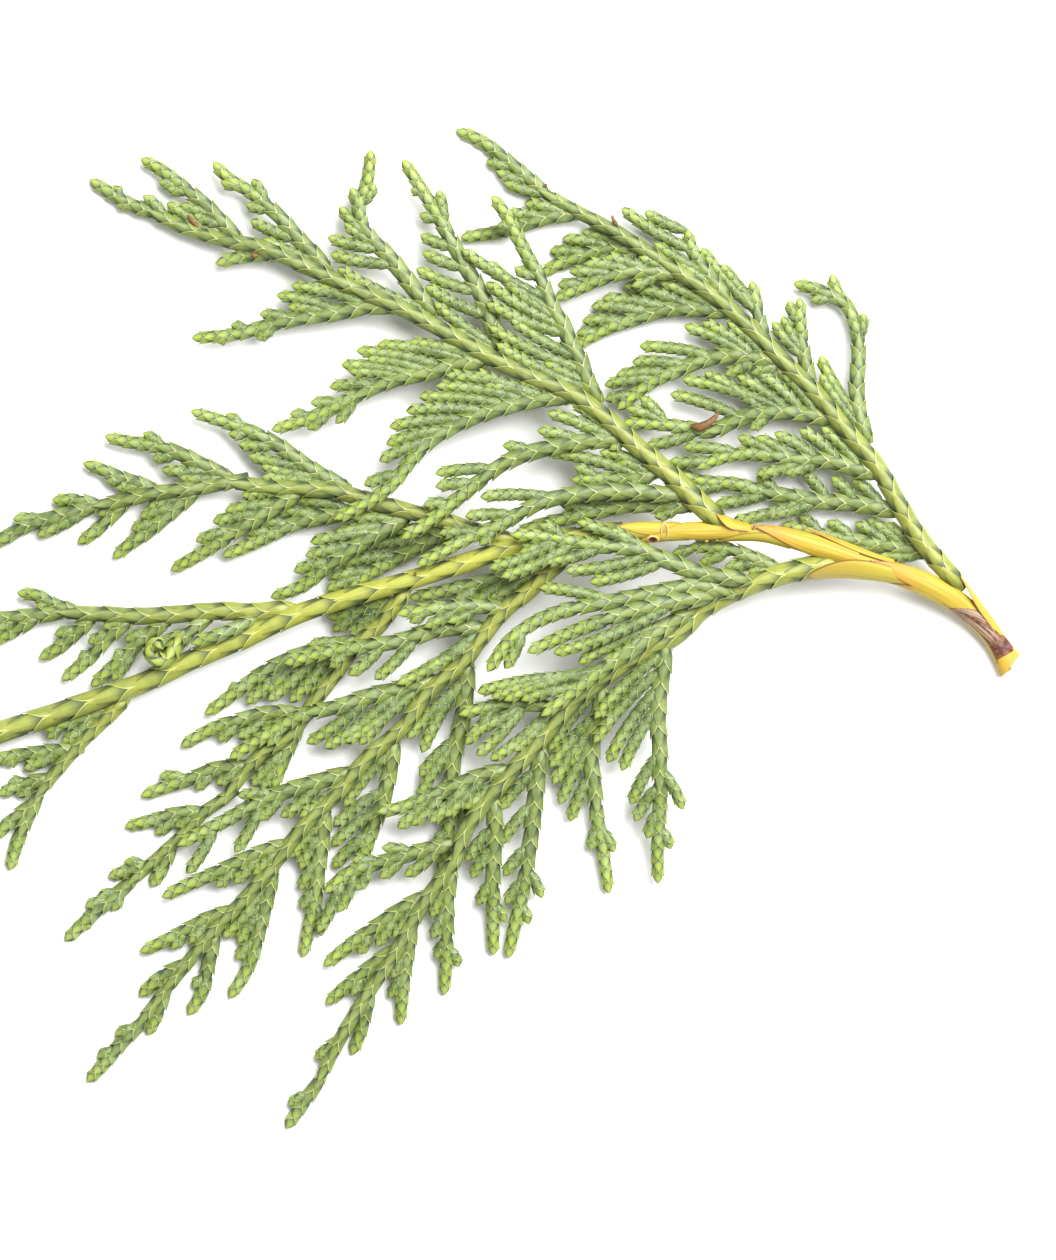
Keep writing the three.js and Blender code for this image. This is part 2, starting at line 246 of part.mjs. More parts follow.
// A bar with flat ends through stations [x, y, z, half width, half thickness].
function bar(stations) {
  const n = ROUND.length;
  const vertices = [];
  const triangles = [];
  stations.forEach(([x, y, z, wide, thick], k) => {
    const a = stations[Math.max(k - 1, 0)];
    const b = stations[Math.min(k + 1, stations.length - 1)];
    const run = distance(a, b);
    const side = [-(b[1] - a[1]) / run, (b[0] - a[0]) / run];
    const lean = (b[2] - a[2]) / run;
    for (const [across, up] of ROUND) {
      const rise = up * thick;
      vertices.push([x - side[0] * across * wide - lean * rise * side[1],
        y - side[1] * across * wide + lean * rise * side[0], z + rise]);
    }
  });
  for (let j = 1; j < n - 1; j++) triangles.push([0, j, j + 1]);
  const last = (stations.length - 1) * n;
  for (let start = 0; start < last; start += n) {
    for (let j = 0; j < n; j++) {
      const [a, b] = [start + j, start + (j + 1) % n];
      triangles.push([a, a + n, b + n], [a, b + n, b]);
    }
  }
  for (let j = 1; j < n - 1; j++) triangles.push([last, last + j + 1, last + j]);
  return solid(vertices, triangles);
}

function stemBar([, route, widths], grow) {
  const points = route.map(plan);
  const stations = points.map((point, k) => {
    const radius = along(widths, k / (points.length - 1)) * PIXEL_MM / 2 + grow;
    return [...point, radius, (radius - grow) * STEM_ROUNDNESS + grow];
  });
  return bar(stations);
}

// The plan outline of a blunt-ended strip that follows the points.
function strip(points, halfWidths, grow) {
  const lengths = lengthsOf(points);
  const total = lengths.at(-1);
  const left = [];
  const right = [];
  points.slice(0, -1).forEach((point, k) => {
    const [before, after] = [points[Math.max(k - 1, 0)], points[k + 1]];
    const run = distance(before, after);
    const half = (along(halfWidths, lengths[k] / total) + grow) / run;
    const [sx, sy] = [-(after[1] - before[1]) * half, (after[0] - before[0]) * half];
    left.push([point[0] + sx, point[1] + sy]);
    right.unshift([point[0] - sx, point[1] - sy]);
  });
  const [before, tip] = points.slice(-2);
  const step = distance(before, tip);
  const end = between(tip, before, -grow / step);
  const half = (halfWidths.at(-1) + grow) / step;
  const [sx, sy] = [-(tip[1] - before[1]) * half, (tip[0] - before[0]) * half];
  left.push([end[0] + sx, end[1] + sy]);
  right.unshift([end[0] - sx, end[1] - sy]);
  return new wasm.CrossSection([[...left, ...right]], 'NonZero');
}

function lengthsOf(points) {
  const lengths = [0];
  for (let k = 1; k < points.length; k++) lengths.push(lengths[k - 1] + distance(points[k - 1], points[k]));
  return lengths;
}

// How far a tip lies to the side of a shoot's run from one of its points, in degrees.
function leanOf(fine, k, tip) {
  const ahead = fine[Math.min(k + LEAN_STEPS, fine.length - 1)];
  const [dx, dy] = [ahead[0] - fine[k][0], ahead[1] - fine[k][1]];
  const [tx, ty] = [tip[0] - fine[k][0], tip[1] - fine[k][1]];
  return Math.atan2(dx * ty - dy * tx, dx * tx + dy * ty) * 180 / Math.PI;
}

// The points of a shoot where its twigs leave it. A twig with no root given leans as much as the
// one nearest the shoot's base on its side does, so the twigs of a side run parallel.
function rootsOf(fine, tips) {
  const leans = tips.map(([tip]) => leanOf(fine, 0, tip));
  return tips.map(([tip, given], j) => {
    if (given) {
      return fine.reduce((best, point, k) => (distance(point, given) < distance(fine[best], given) ? k : best), 0);
    }
    const side = leans.filter((lean, i) => !tips[i][1] && lean * leans[j] > 0 && Math.abs(lean) < BACKWARD_DEG);
    const wanted = Math.min(Math.max(TWIG_LEAN_DEG[0], ...side.map(Math.abs)), TWIG_LEAN_DEG[1]);
    const last = fine.length - 1 - LAST_ROOT_STEPS;
    const k = fine.findIndex((point, i) => i >= last || Math.abs(leanOf(fine, i, tip)) >= wanted);
    return Math.min(k, last);
  });
}

// A flat spray: its outline seen from above, given a thickness and laid along its shoot's heights.
function spraySolid([, route, heights, tips], grow) {
  const flat = route.map(([px, py]) => plan([px, py, 0]));
  const lengths = lengthsOf(flat);
  const points = flat.map(([x, y], k) => [x, y, along(heights, lengths[k] / lengths.at(-1)) - TABLE_Z]);
  const fine = [];
  points.slice(1).forEach((point, k) => {
    const steps = Math.max(1, Math.round(distance(points[k], point) / FINE_STEP));
    for (let j = 0; j < steps; j++) fine.push(between(points[k], point, j / steps));
  });
  fine.push(points.at(-1));
  const strips = [strip(points, SHOOT_HALF_WIDTH, grow)];
  const ends = tips.map(([tx, ty, rx, ry]) => [plan([tx, ty, 0]), rx === undefined ? null : plan([rx, ry, 0])]);
  rootsOf(fine, ends).forEach((k, j) => strips.push(strip([fine[k], ends[j][0]], TWIG_HALF_WIDTH, grow)));
  const thick = SPRAY_THICKNESS + 2 * grow;
  return wasm.CrossSection.union(strips).simplify(OUTLINE_DETAIL).extrude(thick, 0, 0, [1, 1], true)
    .warp((vertex) => {
      let nearest = fine[0];
      for (const point of fine) if (distance(point, vertex) < distance(nearest, vertex)) nearest = point;
      const away = Math.min(distance(nearest, vertex) / DROOP_REACH, 1);
      vertex[2] += nearest[2] - TWIG_DROOP * away;
    });
}

function raw(name, grow) {
  const bodies = STEMS.filter((stem) => stem[0] === name).map((stem) => stemBar(stem, grow));
  for (const spray of SPRAYS.filter((entry) => entry[0] === name)) bodies.push(spraySolid(spray, grow));
  return wasm.Manifold.union(bodies);
}

// The stems a piece grows from: its own branch's, and for a branch's stem the main one.
function parentsOf(name) {
  const branch = name.match(/^branch_[a-h]/)?.[0];
  const isStem = STEMS.some((stem) => stem[0] === name);
  return STEMS.filter(([other]) => other !== name && (other === MAIN ? isStem : branch
    && other.startsWith(branch) && !(name.endsWith('_stem') && other.endsWith('_tip'))));
}

// A piece ends a hair short of the stems it grows from and of the sprays it brushes.
function piece(name) {
  let body = raw(name, 0);
  for (const stem of parentsOf(name)) body = body.subtract(stemBar(stem, PIECE_GAP));
  for (const other of BRUSHES[name] ?? []) body = body.subtract(raw(other, PIECE_GAP));
  return body.simplify(SIMPLIFY).decompose()
    .reduce((best, part) => (part.volume() > best.volume() ? part : best));
}

function meshOf(name) {
  const { numProp, vertProperties, triVerts } = piece(name).getMesh();
  const geometry = new THREE.BufferGeometry();
  const positions = [];
  for (let k = 0; k < vertProperties.length; k += numProp) positions.push(...vertProperties.slice(k, k + 3));
  geometry.setAttribute('position', new THREE.BufferAttribute(new Float32Array(positions), 3));
  geometry.setIndex([...triVerts]);
  const flat = geometry.toNonIndexed();
  flat.computeVertexNormals();
  const isStem = STEMS.some((stem) => stem[0] === name);
  const colour = name === MAIN ? STEM_YELLOW : isStem ? BRANCH_GREEN : SPRAY_GREEN;
  const mesh = new THREE.Mesh(flat, new THREE.MeshStandardMaterial({ color: colour, roughness: 0.6 }));
  mesh.name = name;
  return mesh;
}

const sprig = new THREE.Group();
sprig.name = 'cedar_sprig';
for (const name of new Set([...STEMS, ...SPRAYS].map((entry) => entry[0]))) sprig.add(meshOf(name));

export default sprig;
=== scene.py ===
import math

import bpy
import numpy as np
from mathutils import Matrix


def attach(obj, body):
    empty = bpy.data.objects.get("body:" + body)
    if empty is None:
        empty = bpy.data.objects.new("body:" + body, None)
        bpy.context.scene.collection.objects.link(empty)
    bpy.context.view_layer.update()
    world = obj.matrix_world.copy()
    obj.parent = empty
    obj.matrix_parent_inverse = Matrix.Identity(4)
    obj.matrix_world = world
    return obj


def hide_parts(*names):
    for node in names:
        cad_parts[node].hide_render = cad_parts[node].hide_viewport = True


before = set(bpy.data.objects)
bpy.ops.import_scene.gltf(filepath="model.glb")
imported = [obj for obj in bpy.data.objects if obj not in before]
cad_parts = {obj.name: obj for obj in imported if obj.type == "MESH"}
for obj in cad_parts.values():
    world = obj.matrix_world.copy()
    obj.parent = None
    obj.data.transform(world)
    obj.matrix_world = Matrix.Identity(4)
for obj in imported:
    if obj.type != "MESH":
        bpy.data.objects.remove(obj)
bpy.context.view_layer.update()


# The main stem. Its old, arching part is closed in by big golden scales that have grown fast to it,
# with scars, a dead brown scale and a slanting cut. Further out it is young and yellow-green, in
# pairs of scale leaves. It rests on the table at its cut end and carries all the branches.

# The paths of stems, shoots and twigs. The photo looks straight down, so a path is given in its
# pixels, with heights in millimetres, as in the CAD source. Each becomes an even, smooth line.
PIXEL = 0.15e-3
PLAN_CENTRE_PX = (390.0, 628.0)
TABLE_MM = 0.28
PATH_STEP = 0.25e-3
BURY = 0.9e-3
STEM_BURY = 1.9e-3
BURY_DEPTH = 0.35e-3
BURIED_SHARE = 0.8
IN_LINE = 1.3e-3
IN_LINE_RUN = 1.2e-3
stem_ends = []


def plan(x_px, y_px):
    return (x_px - PLAN_CENTRE_PX[0]) * PIXEL, (PLAN_CENTRE_PX[1] - y_px) * PIXEL


def arc_lengths(points):
    return np.concatenate([[0], np.cumsum(np.linalg.norm(np.diff(points, axis=0), axis=1))])


def smooth_line(points):
    """An even Catmull-Rom line through the points, spaced by chord length."""
    points = np.asarray(points, float)
    at = arc_lengths(points)
    slopes = np.gradient(points, at, axis=0)
    s = np.linspace(0, at[-1], max(8, int(at[-1] / PATH_STEP)))
    k = np.clip(np.searchsorted(at, s, side="right") - 1, 0, len(at) - 2)
    h = (at[k + 1] - at[k])[:, None]
    t = ((s - at[k])[:, None]) / h
    return (
        (2 * t**3 - 3 * t**2 + 1) * points[k]
        + (t**3 - 2 * t**2 + t) * h * slopes[k]
        + (3 * t**2 - 2 * t**3) * points[k + 1]
        + (t**3 - t**2) * h * slopes[k + 1]
    )


def in_line(start):
    """Whether a line starts at the end of a stem, and so carries that stem on."""
    return any(math.dist(start, end) < IN_LINE for end in stem_ends)


def buried(points, reach_back=BURY):
    """The line starts a little way back and lower, inside what it grows from."""
    points = np.asarray(points, float)
    run = points[0] - points[1]
    run /= np.linalg.norm(run)
    if in_line(points[0, :2]):
        return np.vstack([points[0] + run * IN_LINE_RUN, points])
    points[0, 2] -= BURY_DEPTH * 0.4
    return np.vstack([points[0] + run * reach_back - [0, 0, BURY_DEPTH], points])


def stem_half_widths(route, widths):
    """Widths in pixels are spread over the route's points, and come back even along its length."""
    at = arc_lengths(buried([(*plan(x, y), 0) for x, y, z in route], STEM_BURY))
    at_points = np.interp(np.linspace(0, 1, len(route)), np.linspace(0, 1, len(widths)), widths)
    at_points = np.append(at_points[0] * BURIED_SHARE, at_points)
    return np.interp(np.linspace(0, at[-1], WIDTH_SAMPLES), at, at_points) * PIXEL / 2


# Scale leaves. Every stem, shoot and twig is a closed core under pairs of scale leaves: one on
# its top and one below, then one on each side, whose tips stand free at the edges.
CORE_SIDES = 8
CORE_SHARE = 0.88
CORE_RING_WIDTHS = 0.8
CLOSED_SHARE = 0.02
BLUNT_WIDTHS = 1.3
WIDTH_SAMPLES = 40
LENGTH_WOBBLE = 0.08
FACE_RUN = (1.05, 0.1)
SIDE_BACK = 0.55
SIDE_SPREAD_DEG = 88
NECK_SHARE = 0.5
NECK_WIDTHS = 2.2


class Habit:
    """How the leaves of one kind of axis are shaped. Lengths and heights are in half widths."""

    def __init__(self, **traits):
        self.__dict__.update(traits)


class Tissue:
    """Collects the leaves and cores of one piece."""

    def __init__(self, seed):
        self.random = np.random.default_rng(seed)
        self.points, self.faces, self.facts, self.count = [], [], [], 0

    def add(self, grids, closed_round, **facts):
        """grids is [leaf, row, column, xyz]; facts holds one value per point for each name."""
        leaves, rows, columns = grids.shape[:3]
        index = np.arange(leaves * rows * columns).reshape(leaves, rows, columns) + self.count
        across = np.roll(index, -1, axis=2) if closed_round else index[:, :, 1:]
        here = index if closed_round else index[:, :, :-1]
        quads = np.stack([here[:, :-1], across[:, :-1], across[:, 1:], here[:, 1:]], axis=-1)
        self.points.append(grids.reshape(-1, 3))
        self.faces.append(quads.reshape(-1, 4))
        self.facts.append({k: np.broadcast_to(v, index.shape).ravel() for k, v in facts.items()})
        self.count += index.size


class Axis:
    """A path with its widths: places points by distance along, angle round and share of radius."""

    def __init__(self, path, half_widths, flatness, roll, blunt, necked=True):
        self.path = path
        self.at = arc_lengths(path)
        self.length = self.at[-1]
        self.widths = half_widths
        self.flatness = flatness
        self.blunt = blunt
        self.necked = necked
        along = np.gradient(path, self.at, axis=0)
        along /= np.linalg.norm(along, axis=1)[:, None]
        side = np.cross([0, 0, 1.0], along)
        side /= np.linalg.norm(side, axis=1)[:, None]
        up = np.cross(along, side)
        self.along = along
        self.side = side * math.cos(roll) + up * math.sin(roll)
        self.up = up * math.cos(roll) - side * math.sin(roll)

    def half_width(self, s):
        share = np.clip(s / self.length, 0, 1)
        width = np.interp(share, np.linspace(0, 1, len(self.widths)), self.widths)
        if self.necked:
            width = width * np.interp(s, [0, NECK_WIDTHS * self.widths[0]], [NECK_SHARE, 1])
        if self.blunt:
            end = self.widths[-1] * BLUNT_WIDTHS
            into = np.clip((s - (self.length - end)) / end, 0, 1)
            width = width * np.sqrt(np.clip(1 - into**2, CLOSED_SHARE, 1))
        return width

    def place(self, s, angle, share):
        def at(values):
            return np.stack([np.interp(s, self.at, values[:, k]) for k in range(3)], axis=-1)

        width = self.half_width(s) * share
        beyond = np.clip(s - self.length, 0, None) + (0 if self.necked else np.minimum(s, 0))
        return (
            at(self.path)
            + at(self.along) * beyond[..., None]
            + at(self.side) * (width * np.cos(angle))[..., None]
            + at(self.up) * (width * self.flatness * np.sin(angle))[..., None]
        )


def add_core(tissue, axis, tone, woody, fresh, start=0.0, end=None):
    end = axis.length if end is None else end
    ring = max(4, int((end - start) / (CORE_RING_WIDTHS * np.mean(axis.widths))))
    turn = np.arange(CORE_SIDES) / CORE_SIDES * 2 * math.pi
    s, angle = np.meshgrid(np.linspace(start, end, ring), turn, indexing="ij")
    share = np.full(s.shape, CORE_SHARE)
    share[[0, -1]] = CLOSED_SHARE
    tissue.add(axis.place(s, angle, share)[None], True, across=0, along=0, edge=1, kind=0.5, chance=0.5,
               tone=tone, fresh=fresh, woody=woody)


def add_leaves(tissue, axis, habit, start=0.0, stop=1.0, tone=0.5):
    """Pairs of scale leaves over a share of the axis."""
    random = tissue.random
    start, stop = start * axis.length, stop * axis.length
    width = float(np.mean(axis.half_width(np.linspace(start, stop, 9))))
    number = max(2, round((stop - start) / (habit.length * width)))
    nodes = start + (stop - start) * (np.arange(number + 1) / number)
    length = (stop - start) / number
    t = np.linspace(0, 1, habit.rows)[None, :, None]
    v = np.linspace(-1, 1, habit.columns)[None, None, :]
    for first_angle, kind in ((90, 0), (270, 0), (0, 1), (180, 1)):
        ends = nodes[1:] if kind == 0 else nodes[:-1]
        wobble = 1 + random.uniform(-LENGTH_WOBBLE, LENGTH_WOBBLE, len(ends))
        back, ahead = FACE_RUN if kind == 0 else (SIDE_BACK, habit.side_reach)
        first = (ends - length * back * wobble)[:, None, None]
        last = (ends + length * ahead * wobble)[:, None, None]
        arch = np.sin(math.pi * t**0.85)
        if kind == 0:
            into = np.clip((t - 0.3) / 0.7, 0, 1)
            spread = habit.face_spread * (1 - into**habit.face_curve) ** habit.face_point
            stand = 0.01 + habit.lift * t**1.6 + habit.bulge * arch * (1 - v**2)
        else:
            seam = SIDE_BACK / (SIDE_BACK + ahead)
            into = np.clip((t - seam) / (1 - seam), 0, 1)
            spread = SIDE_SPREAD_DEG * (1 - into**1.6)
            stand = 0.03 + habit.lift * 0.45 * t + habit.flare * t**2.6
            stand = stand + habit.rim * np.abs(v) ** 6 * arch + habit.bulge * 0.4 * arch * (1 - v**2)
        aim = random.uniform(-habit.twist, habit.twist, len(ends))[:, None, None]
        angle = np.radians(first_angle + aim + spread * v)
        s = np.broadcast_to(first + (last - first) * t, angle.shape)
        share = np.broadcast_to(1 + stand, angle.shape)
        share_along = np.clip(s / axis.length, 0, 1)
        young = np.interp(share_along, [0, 0.5, 1], habit.fresh)
        edge = (1 - np.abs(v)) * np.radians(spread)
        tissue.add(axis.place(s, angle, share), False, across=v, along=t, edge=edge, kind=kind,
                   chance=random.random(len(ends))[:, None, None], tone=tone, fresh=young,
                   woody=np.interp(share_along, [0, 1], habit.woody))


def make_piece(name, tissue, material, stands_for_node=True):
    """A joined mesh of a tissue's leaves that rides the sprig and stands for its CAD node."""
    points = np.concatenate(tissue.points)
    faces = np.concatenate(tissue.faces)
    mesh = bpy.data.meshes.new(name)
    mesh.vertices.add(len(points))
    mesh.vertices.foreach_set("co", points.ravel())
    mesh.loops.add(faces.size)
    mesh.loops.foreach_set("vertex_index", faces.ravel())
    mesh.polygons.add(len(faces))
    mesh.polygons.foreach_set("loop_start", np.arange(0, faces.size, 4))
    mesh.update(calc_edges=True)
    mesh.shade_smooth()
    for fact in tissue.facts[0]:
        values = np.concatenate([group[fact] for group in tissue.facts])
        mesh.attributes.new(fact, "FLOAT", "POINT").data.foreach_set("value", values.astype(float))
    piece = bpy.data.objects.new(name + "_leaves", mesh)
    bpy.context.collection.objects.link(piece)
    mesh.materials.append(material)
    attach(piece, "root")
    if stands_for_node:
        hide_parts(name)
    return piece


# The tissue's colours. One shared group turns the leaf facts into a base colour: green leaf,
# lime young tips, thin pale margins on the side leaves, and painted shade where leaves overlap:
# the base of each leaf, the sides of the face leaves under the side leaves, and the cores.
LEAF_SHADE = (0.022, 0.05, 0.014)
LEAF_GREEN = (0.155, 0.21, 0.04)
YOUNG_GREEN = (0.33, 0.41, 0.045)
STEM_GREEN = (0.22, 0.25, 0.045)
STEM_YELLOW = (0.37, 0.375, 0.045)
STEM_NODE = (0.4, 0.36, 0.03)
# Painted crevice shade, laid on the leaf bases, the face leaves' flanks and the cores.
PAINTED_CREVICE_SHADE = (0.03, 0.05, 0.02)
MARGIN = (0.5, 0.52, 0.15)
BLOOM = (0.31, 0.38, 0.19)
LEAF_FACTS = ("Across", "Along", "Edge", "Kind", "Chance", "Tone", "Fresh", "Woody")


def socket(tree, kind, name, default, low=0.0, high=1.0):
    made = tree.interface.new_socket(name, in_out="INPUT", socket_type=kind)
    made.default_value = default
    if kind == "NodeSocketFloat":
        made.min_value, made.max_value = low, high


def number(tree, operation, *values):
    node = tree.nodes.new("ShaderNodeMath")
    node.operation = operation
    node.use_clamp = operation == "MULTIPLY_ADD"
    for k, value in enumerate(values):
        if isinstance(value, (int, float)):
            node.inputs[k].default_value = value
        else:
            tree.links.new(value, node.inputs[k])
    return node.outputs[0]


def step(tree, value, low, high):
    node = tree.nodes.new("ShaderNodeMapRange")
    node.interpolation_type = "SMOOTHSTEP"
    node.inputs["From Min"].default_value = low
    node.inputs["From Max"].default_value = high
    tree.links.new(value, node.inputs["Value"])
    return node.outputs[0]


def mix(tree, share, first, second):
    node = tree.nodes.new("ShaderNodeMix")
    node.data_type = "RGBA"
    for key, value in ((0, share), (6, first), (7, second)):
        if isinstance(value, (int, float)):
            node.inputs[key].default_value = value
        elif isinstance(value, tuple):
            node.inputs[key].default_value = (*value, 1)
        else:
            tree.links.new(value, node.inputs[key])
    return node.outputs[2]


def fact(tree, name):
    node = tree.nodes.new("ShaderNodeAttribute")
    node.attribute_name = name
    return node.outputs["Fac"]


def noise(tree, scale, detail=2.0):
    place = tree.nodes.new("ShaderNodeTexCoord")
    node = tree.nodes.new("ShaderNodeTexNoise")
    node.inputs["Scale"].default_value = scale
    node.inputs["Detail"].default_value = detail
    tree.links.new(place.outputs["Object"], node.inputs["Vector"])
    return node.outputs["Fac"]


def streaks(tree, given):
    """Fine lengthwise fibres that follow each leaf."""
    place = tree.nodes.new("ShaderNodeCombineXYZ")
    tree.links.new(number(tree, "MULTIPLY", given["Across"], 7.0), place.inputs[0])
    tree.links.new(number(tree, "MULTIPLY", given["Along"], 1.1), place.inputs[1])
    tree.links.new(number(tree, "MULTIPLY", given["Chance"], 40.0), place.inputs[2])
    node = tree.nodes.new("ShaderNodeTexNoise")
    node.inputs["Scale"].default_value = 1.0
    tree.links.new(place.outputs[0], node.inputs["Vector"])
    return step(tree, node.outputs["Fac"], 0.38, 0.68)


def tissue_group():
    tree = bpy.data.node_groups.new("leaf_colour", "ShaderNodeTree")
    for name in LEAF_FACTS:
        socket(tree, "NodeSocketFloat", name, 0.0, -1.0, 2.0)
    tree.interface.new_socket("Colour", in_out="OUTPUT", socket_type="NodeSocketColor")
    given = tree.nodes.new("NodeGroupInput").outputs
    result = tree.nodes.new("NodeGroupOutput").inputs
    side = number(tree, "ABSOLUTE", given["Across"])
    lateral = step(tree, given["Kind"], 0.6, 0.9)
    not_side = number(tree, "SUBTRACT", 1.0, lateral)
    core = number(tree, "MULTIPLY", step(tree, given["Kind"], 0.2, 0.4), not_side)
    shade = number(tree, "MULTIPLY", given["Chance"], 0.25)
    mottle = number(tree, "MULTIPLY", step(tree, noise(tree, 700), 0.4, 0.65), 0.25)
    shade = number(tree, "ADD", shade, mottle)
    shade = number(tree, "ADD", shade, number(tree, "MULTIPLY", given["Tone"], 0.2))
    shade = number(tree, "ADD", shade, number(tree, "MULTIPLY", streaks(tree, given), 0.4))
    colour = mix(tree, shade, LEAF_GREEN, LEAF_SHADE)
    node = number(tree, "MULTIPLY", step(tree, given["Along"], 0.45, 0.95), not_side)
    old = number(tree, "MULTIPLY", step(tree, given["Woody"], 0.6, 1.3), 0.95)
    bark = mix(tree, old, STEM_GREEN, STEM_YELLOW)
    bark = mix(tree, number(tree, "MULTIPLY", node, 0.45), bark, STEM_NODE)
    bark = mix(tree, number(tree, "MULTIPLY", shade, 0.5), bark, LEAF_SHADE)
    colour = mix(tree, given["Woody"], colour, bark)
    middle = number(tree, "SUBTRACT", 1.1, side)
    young = number(tree, "MULTIPLY", given["Fresh"], middle)
    young = number(tree, "MULTIPLY", young, step(tree, given["Along"], 0.1, 0.7))
    colour = mix(tree, young, colour, YOUNG_GREEN)
    bloom_share = number(tree, "MULTIPLY_ADD", given["Woody"], -0.22, 0.26)
    bloom = number(tree, "MULTIPLY", step(tree, noise(tree, 500), 0.42, 0.7), bloom_share)
    colour = mix(tree, bloom, colour, BLOOM)
    # Painted shade: the base of each leaf, the flanks of the face leaves under the side leaves and the
    # cores between leaves are darkened, as shade falls in these crevices. seam is the mask of this
    # painted shade.
    base = step(tree, given["Along"], 0.42, 0.08)
    painted_flank_shade = number(tree, "MULTIPLY", step(tree, side, 0.55, 1.0), not_side)
    seam = number(tree, "MAXIMUM", number(tree, "MAXIMUM", base, painted_flank_shade), core)
    colour = mix(tree, number(tree, "MULTIPLY", seam, 0.9), colour, PAINTED_CREVICE_SHADE)
    rim = step(tree, given["Edge"], 0.12, 0.05)
    rim = number(tree, "MULTIPLY", rim, step(tree, given["Along"], 0.3, 0.5))
    rim = number(tree, "MAXIMUM", rim, step(tree, given["Along"], 0.97, 1.0))
    rim = number(tree, "MULTIPLY", rim, lateral)
    face_tip = number(tree, "MULTIPLY", step(tree, given["Along"], 0.9, 1.0), 0.3)
    margin = number(tree, "MULTIPLY", number(tree, "MAXIMUM", rim, face_tip), 0.85)
    colour = mix(tree, margin, colour, MARGIN)
    tree.links.new(colour, result["Colour"])
    return tree


leaf_colour = tissue_group()


def tissue_material(name, roughness, coat):
    material = bpy.data.materials.new(name)
    material.use_nodes = True
    tree = material.node_tree
    shader = tree.nodes["Principled BSDF"]
    group = tree.nodes.new("ShaderNodeGroup")
    group.node_tree = leaf_colour
    for given in LEAF_FACTS:
        tree.links.new(fact(tree, given.lower()), group.inputs[given])
    tree.links.new(group.outputs["Colour"], shader.inputs["Base Color"])
    shader.inputs["Roughness"].default_value = roughness
    shader.inputs["Coat Weight"].default_value = coat
    return material


leaf_tissue = tissue_material("leaf_tissue", 0.5, 0.0)


# The old stem's golden scales: orange towards some tips, fine fibres along them, brown-purple
# lines along their edges.
BARK_GOLD = (0.35, 0.235, 0.023)
BARK_LIGHT = (0.46, 0.365, 0.043)
BARK_ORANGE = (0.47, 0.2, 0.032)
BARK_OLIVE = (0.32, 0.3, 0.04)
BARK_EDGE = (0.13, 0.04, 0.03)
BARK_BROWN = (0.16, 0.06, 0.03)
BARK_DARK = (0.06, 0.02, 0.014)
BARK_PALE = (0.58, 0.46, 0.36)
BARK_GREY = (0.36, 0.27, 0.17)
old_bark = bpy.data.materials.new("old_bark")
old_bark.use_nodes = True
bark_tree = old_bark.node_tree
bark_facts = {name: fact(bark_tree, name.lower()) for name in LEAF_FACTS}
bark_colour = mix(bark_tree, streaks(bark_tree, bark_facts), BARK_GOLD, BARK_LIGHT)
bark_tip = step(bark_tree, bark_facts["Along"], 0.45, 0.95)
bark_tip = number(bark_tree, "MULTIPLY", bark_tip, bark_facts["Tone"])
bark_colour = mix(bark_tree, bark_tip, bark_colour, BARK_ORANGE)
bark_colour = mix(bark_tree, bark_facts["Woody"], bark_colour, BARK_OLIVE)
bark_fibre = step(bark_tree, bark_facts["Along"], 0.12, 0.4)
bark_fibre = number(bark_tree, "MULTIPLY", streaks(bark_tree, bark_facts), bark_fibre)
bark_flecks = mix(bark_tree, step(bark_tree, noise(bark_tree, 1500), 0.4, 0.65), BARK_DARK, BARK_BROWN)
bark_flecks = mix(bark_tree, bark_fibre, bark_flecks, BARK_GREY)
bark_colour = mix(bark_tree, bark_facts["Fresh"], bark_colour, bark_flecks)
bark_colour = mix(bark_tree, step(bark_tree, bark_facts["Kind"], 0.6, 0.9), bark_colour, BARK_PALE)
bark_line = step(bark_tree, bark_facts["Edge"], 0.1, 0.045)
bark_line = number(bark_tree, "MAXIMUM", bark_line, step(bark_tree, bark_facts["Along"], 0.94, 1.0))
bark_colour = mix(bark_tree, number(bark_tree, "MULTIPLY", bark_line, 0.8), bark_colour, BARK_EDGE)
bark_shader = bark_tree.nodes["Principled BSDF"]
bark_tree.links.new(bark_colour, bark_shader.inputs["Base Color"])
bark_shader.inputs["Roughness"].default_value = 0.55
bark_shader.inputs["Specular IOR Level"].default_value = 0.3


STEM_FLATNESS = 0.92
main_route = [
    [1010, 664, 2.0], [998, 643, 2.2], [983, 624, 2.7], [963, 606, 3.4], [936, 589, 4.4],
    [903, 574, 5.4], [868, 563, 6.2], [838, 553, 6.8], [800, 542, 7.2], [765, 533, 7.6],
    [740, 531, 7.8], [700, 531, 8.0], [660, 531, 8.0], [620, 531, 8.0], [570, 537, 7.9],
    [515, 547, 7.5], [450, 568, 6.9], [400, 583, 6.5], [340, 600, 6.0], [290, 617, 5.5],
    [240, 640, 5.0], [200, 656, 4.6], [140, 684, 4.0], [80, 705, 3.5], [18, 726, 3.1], [-40, 745, 2.8],
]
main_widths = [
    27, 23, 19, 20, 23, 22, 21, 22, 22, 19, 17, 18, 18, 18, 18, 18, 18, 18, 18, 19, 19,
    20, 20, 20, 21, 21,
]
GOLDEN_END_PX = (600, 533)
young_habit = Habit(length=4.6, rows=9, columns=9, face_spread=54, face_curve=1.7, face_point=0.8,
                    lift=0.05, bulge=0.05, flare=0.1, rim=0.03, side_reach=0.5, twist=8,
                    fresh=(0.1, 0.1, 0.1), woody=(1.5, 0.8))
SCALE_ROWS = 16
CUT_SLANT = 0.8e-3
OLD_CORE_START = 3e-3
CORE_OVERLAP = 1e-3
SCALE_COLUMNS = 13
SCAR_SIDES = 16
CUT_SIDES = 24

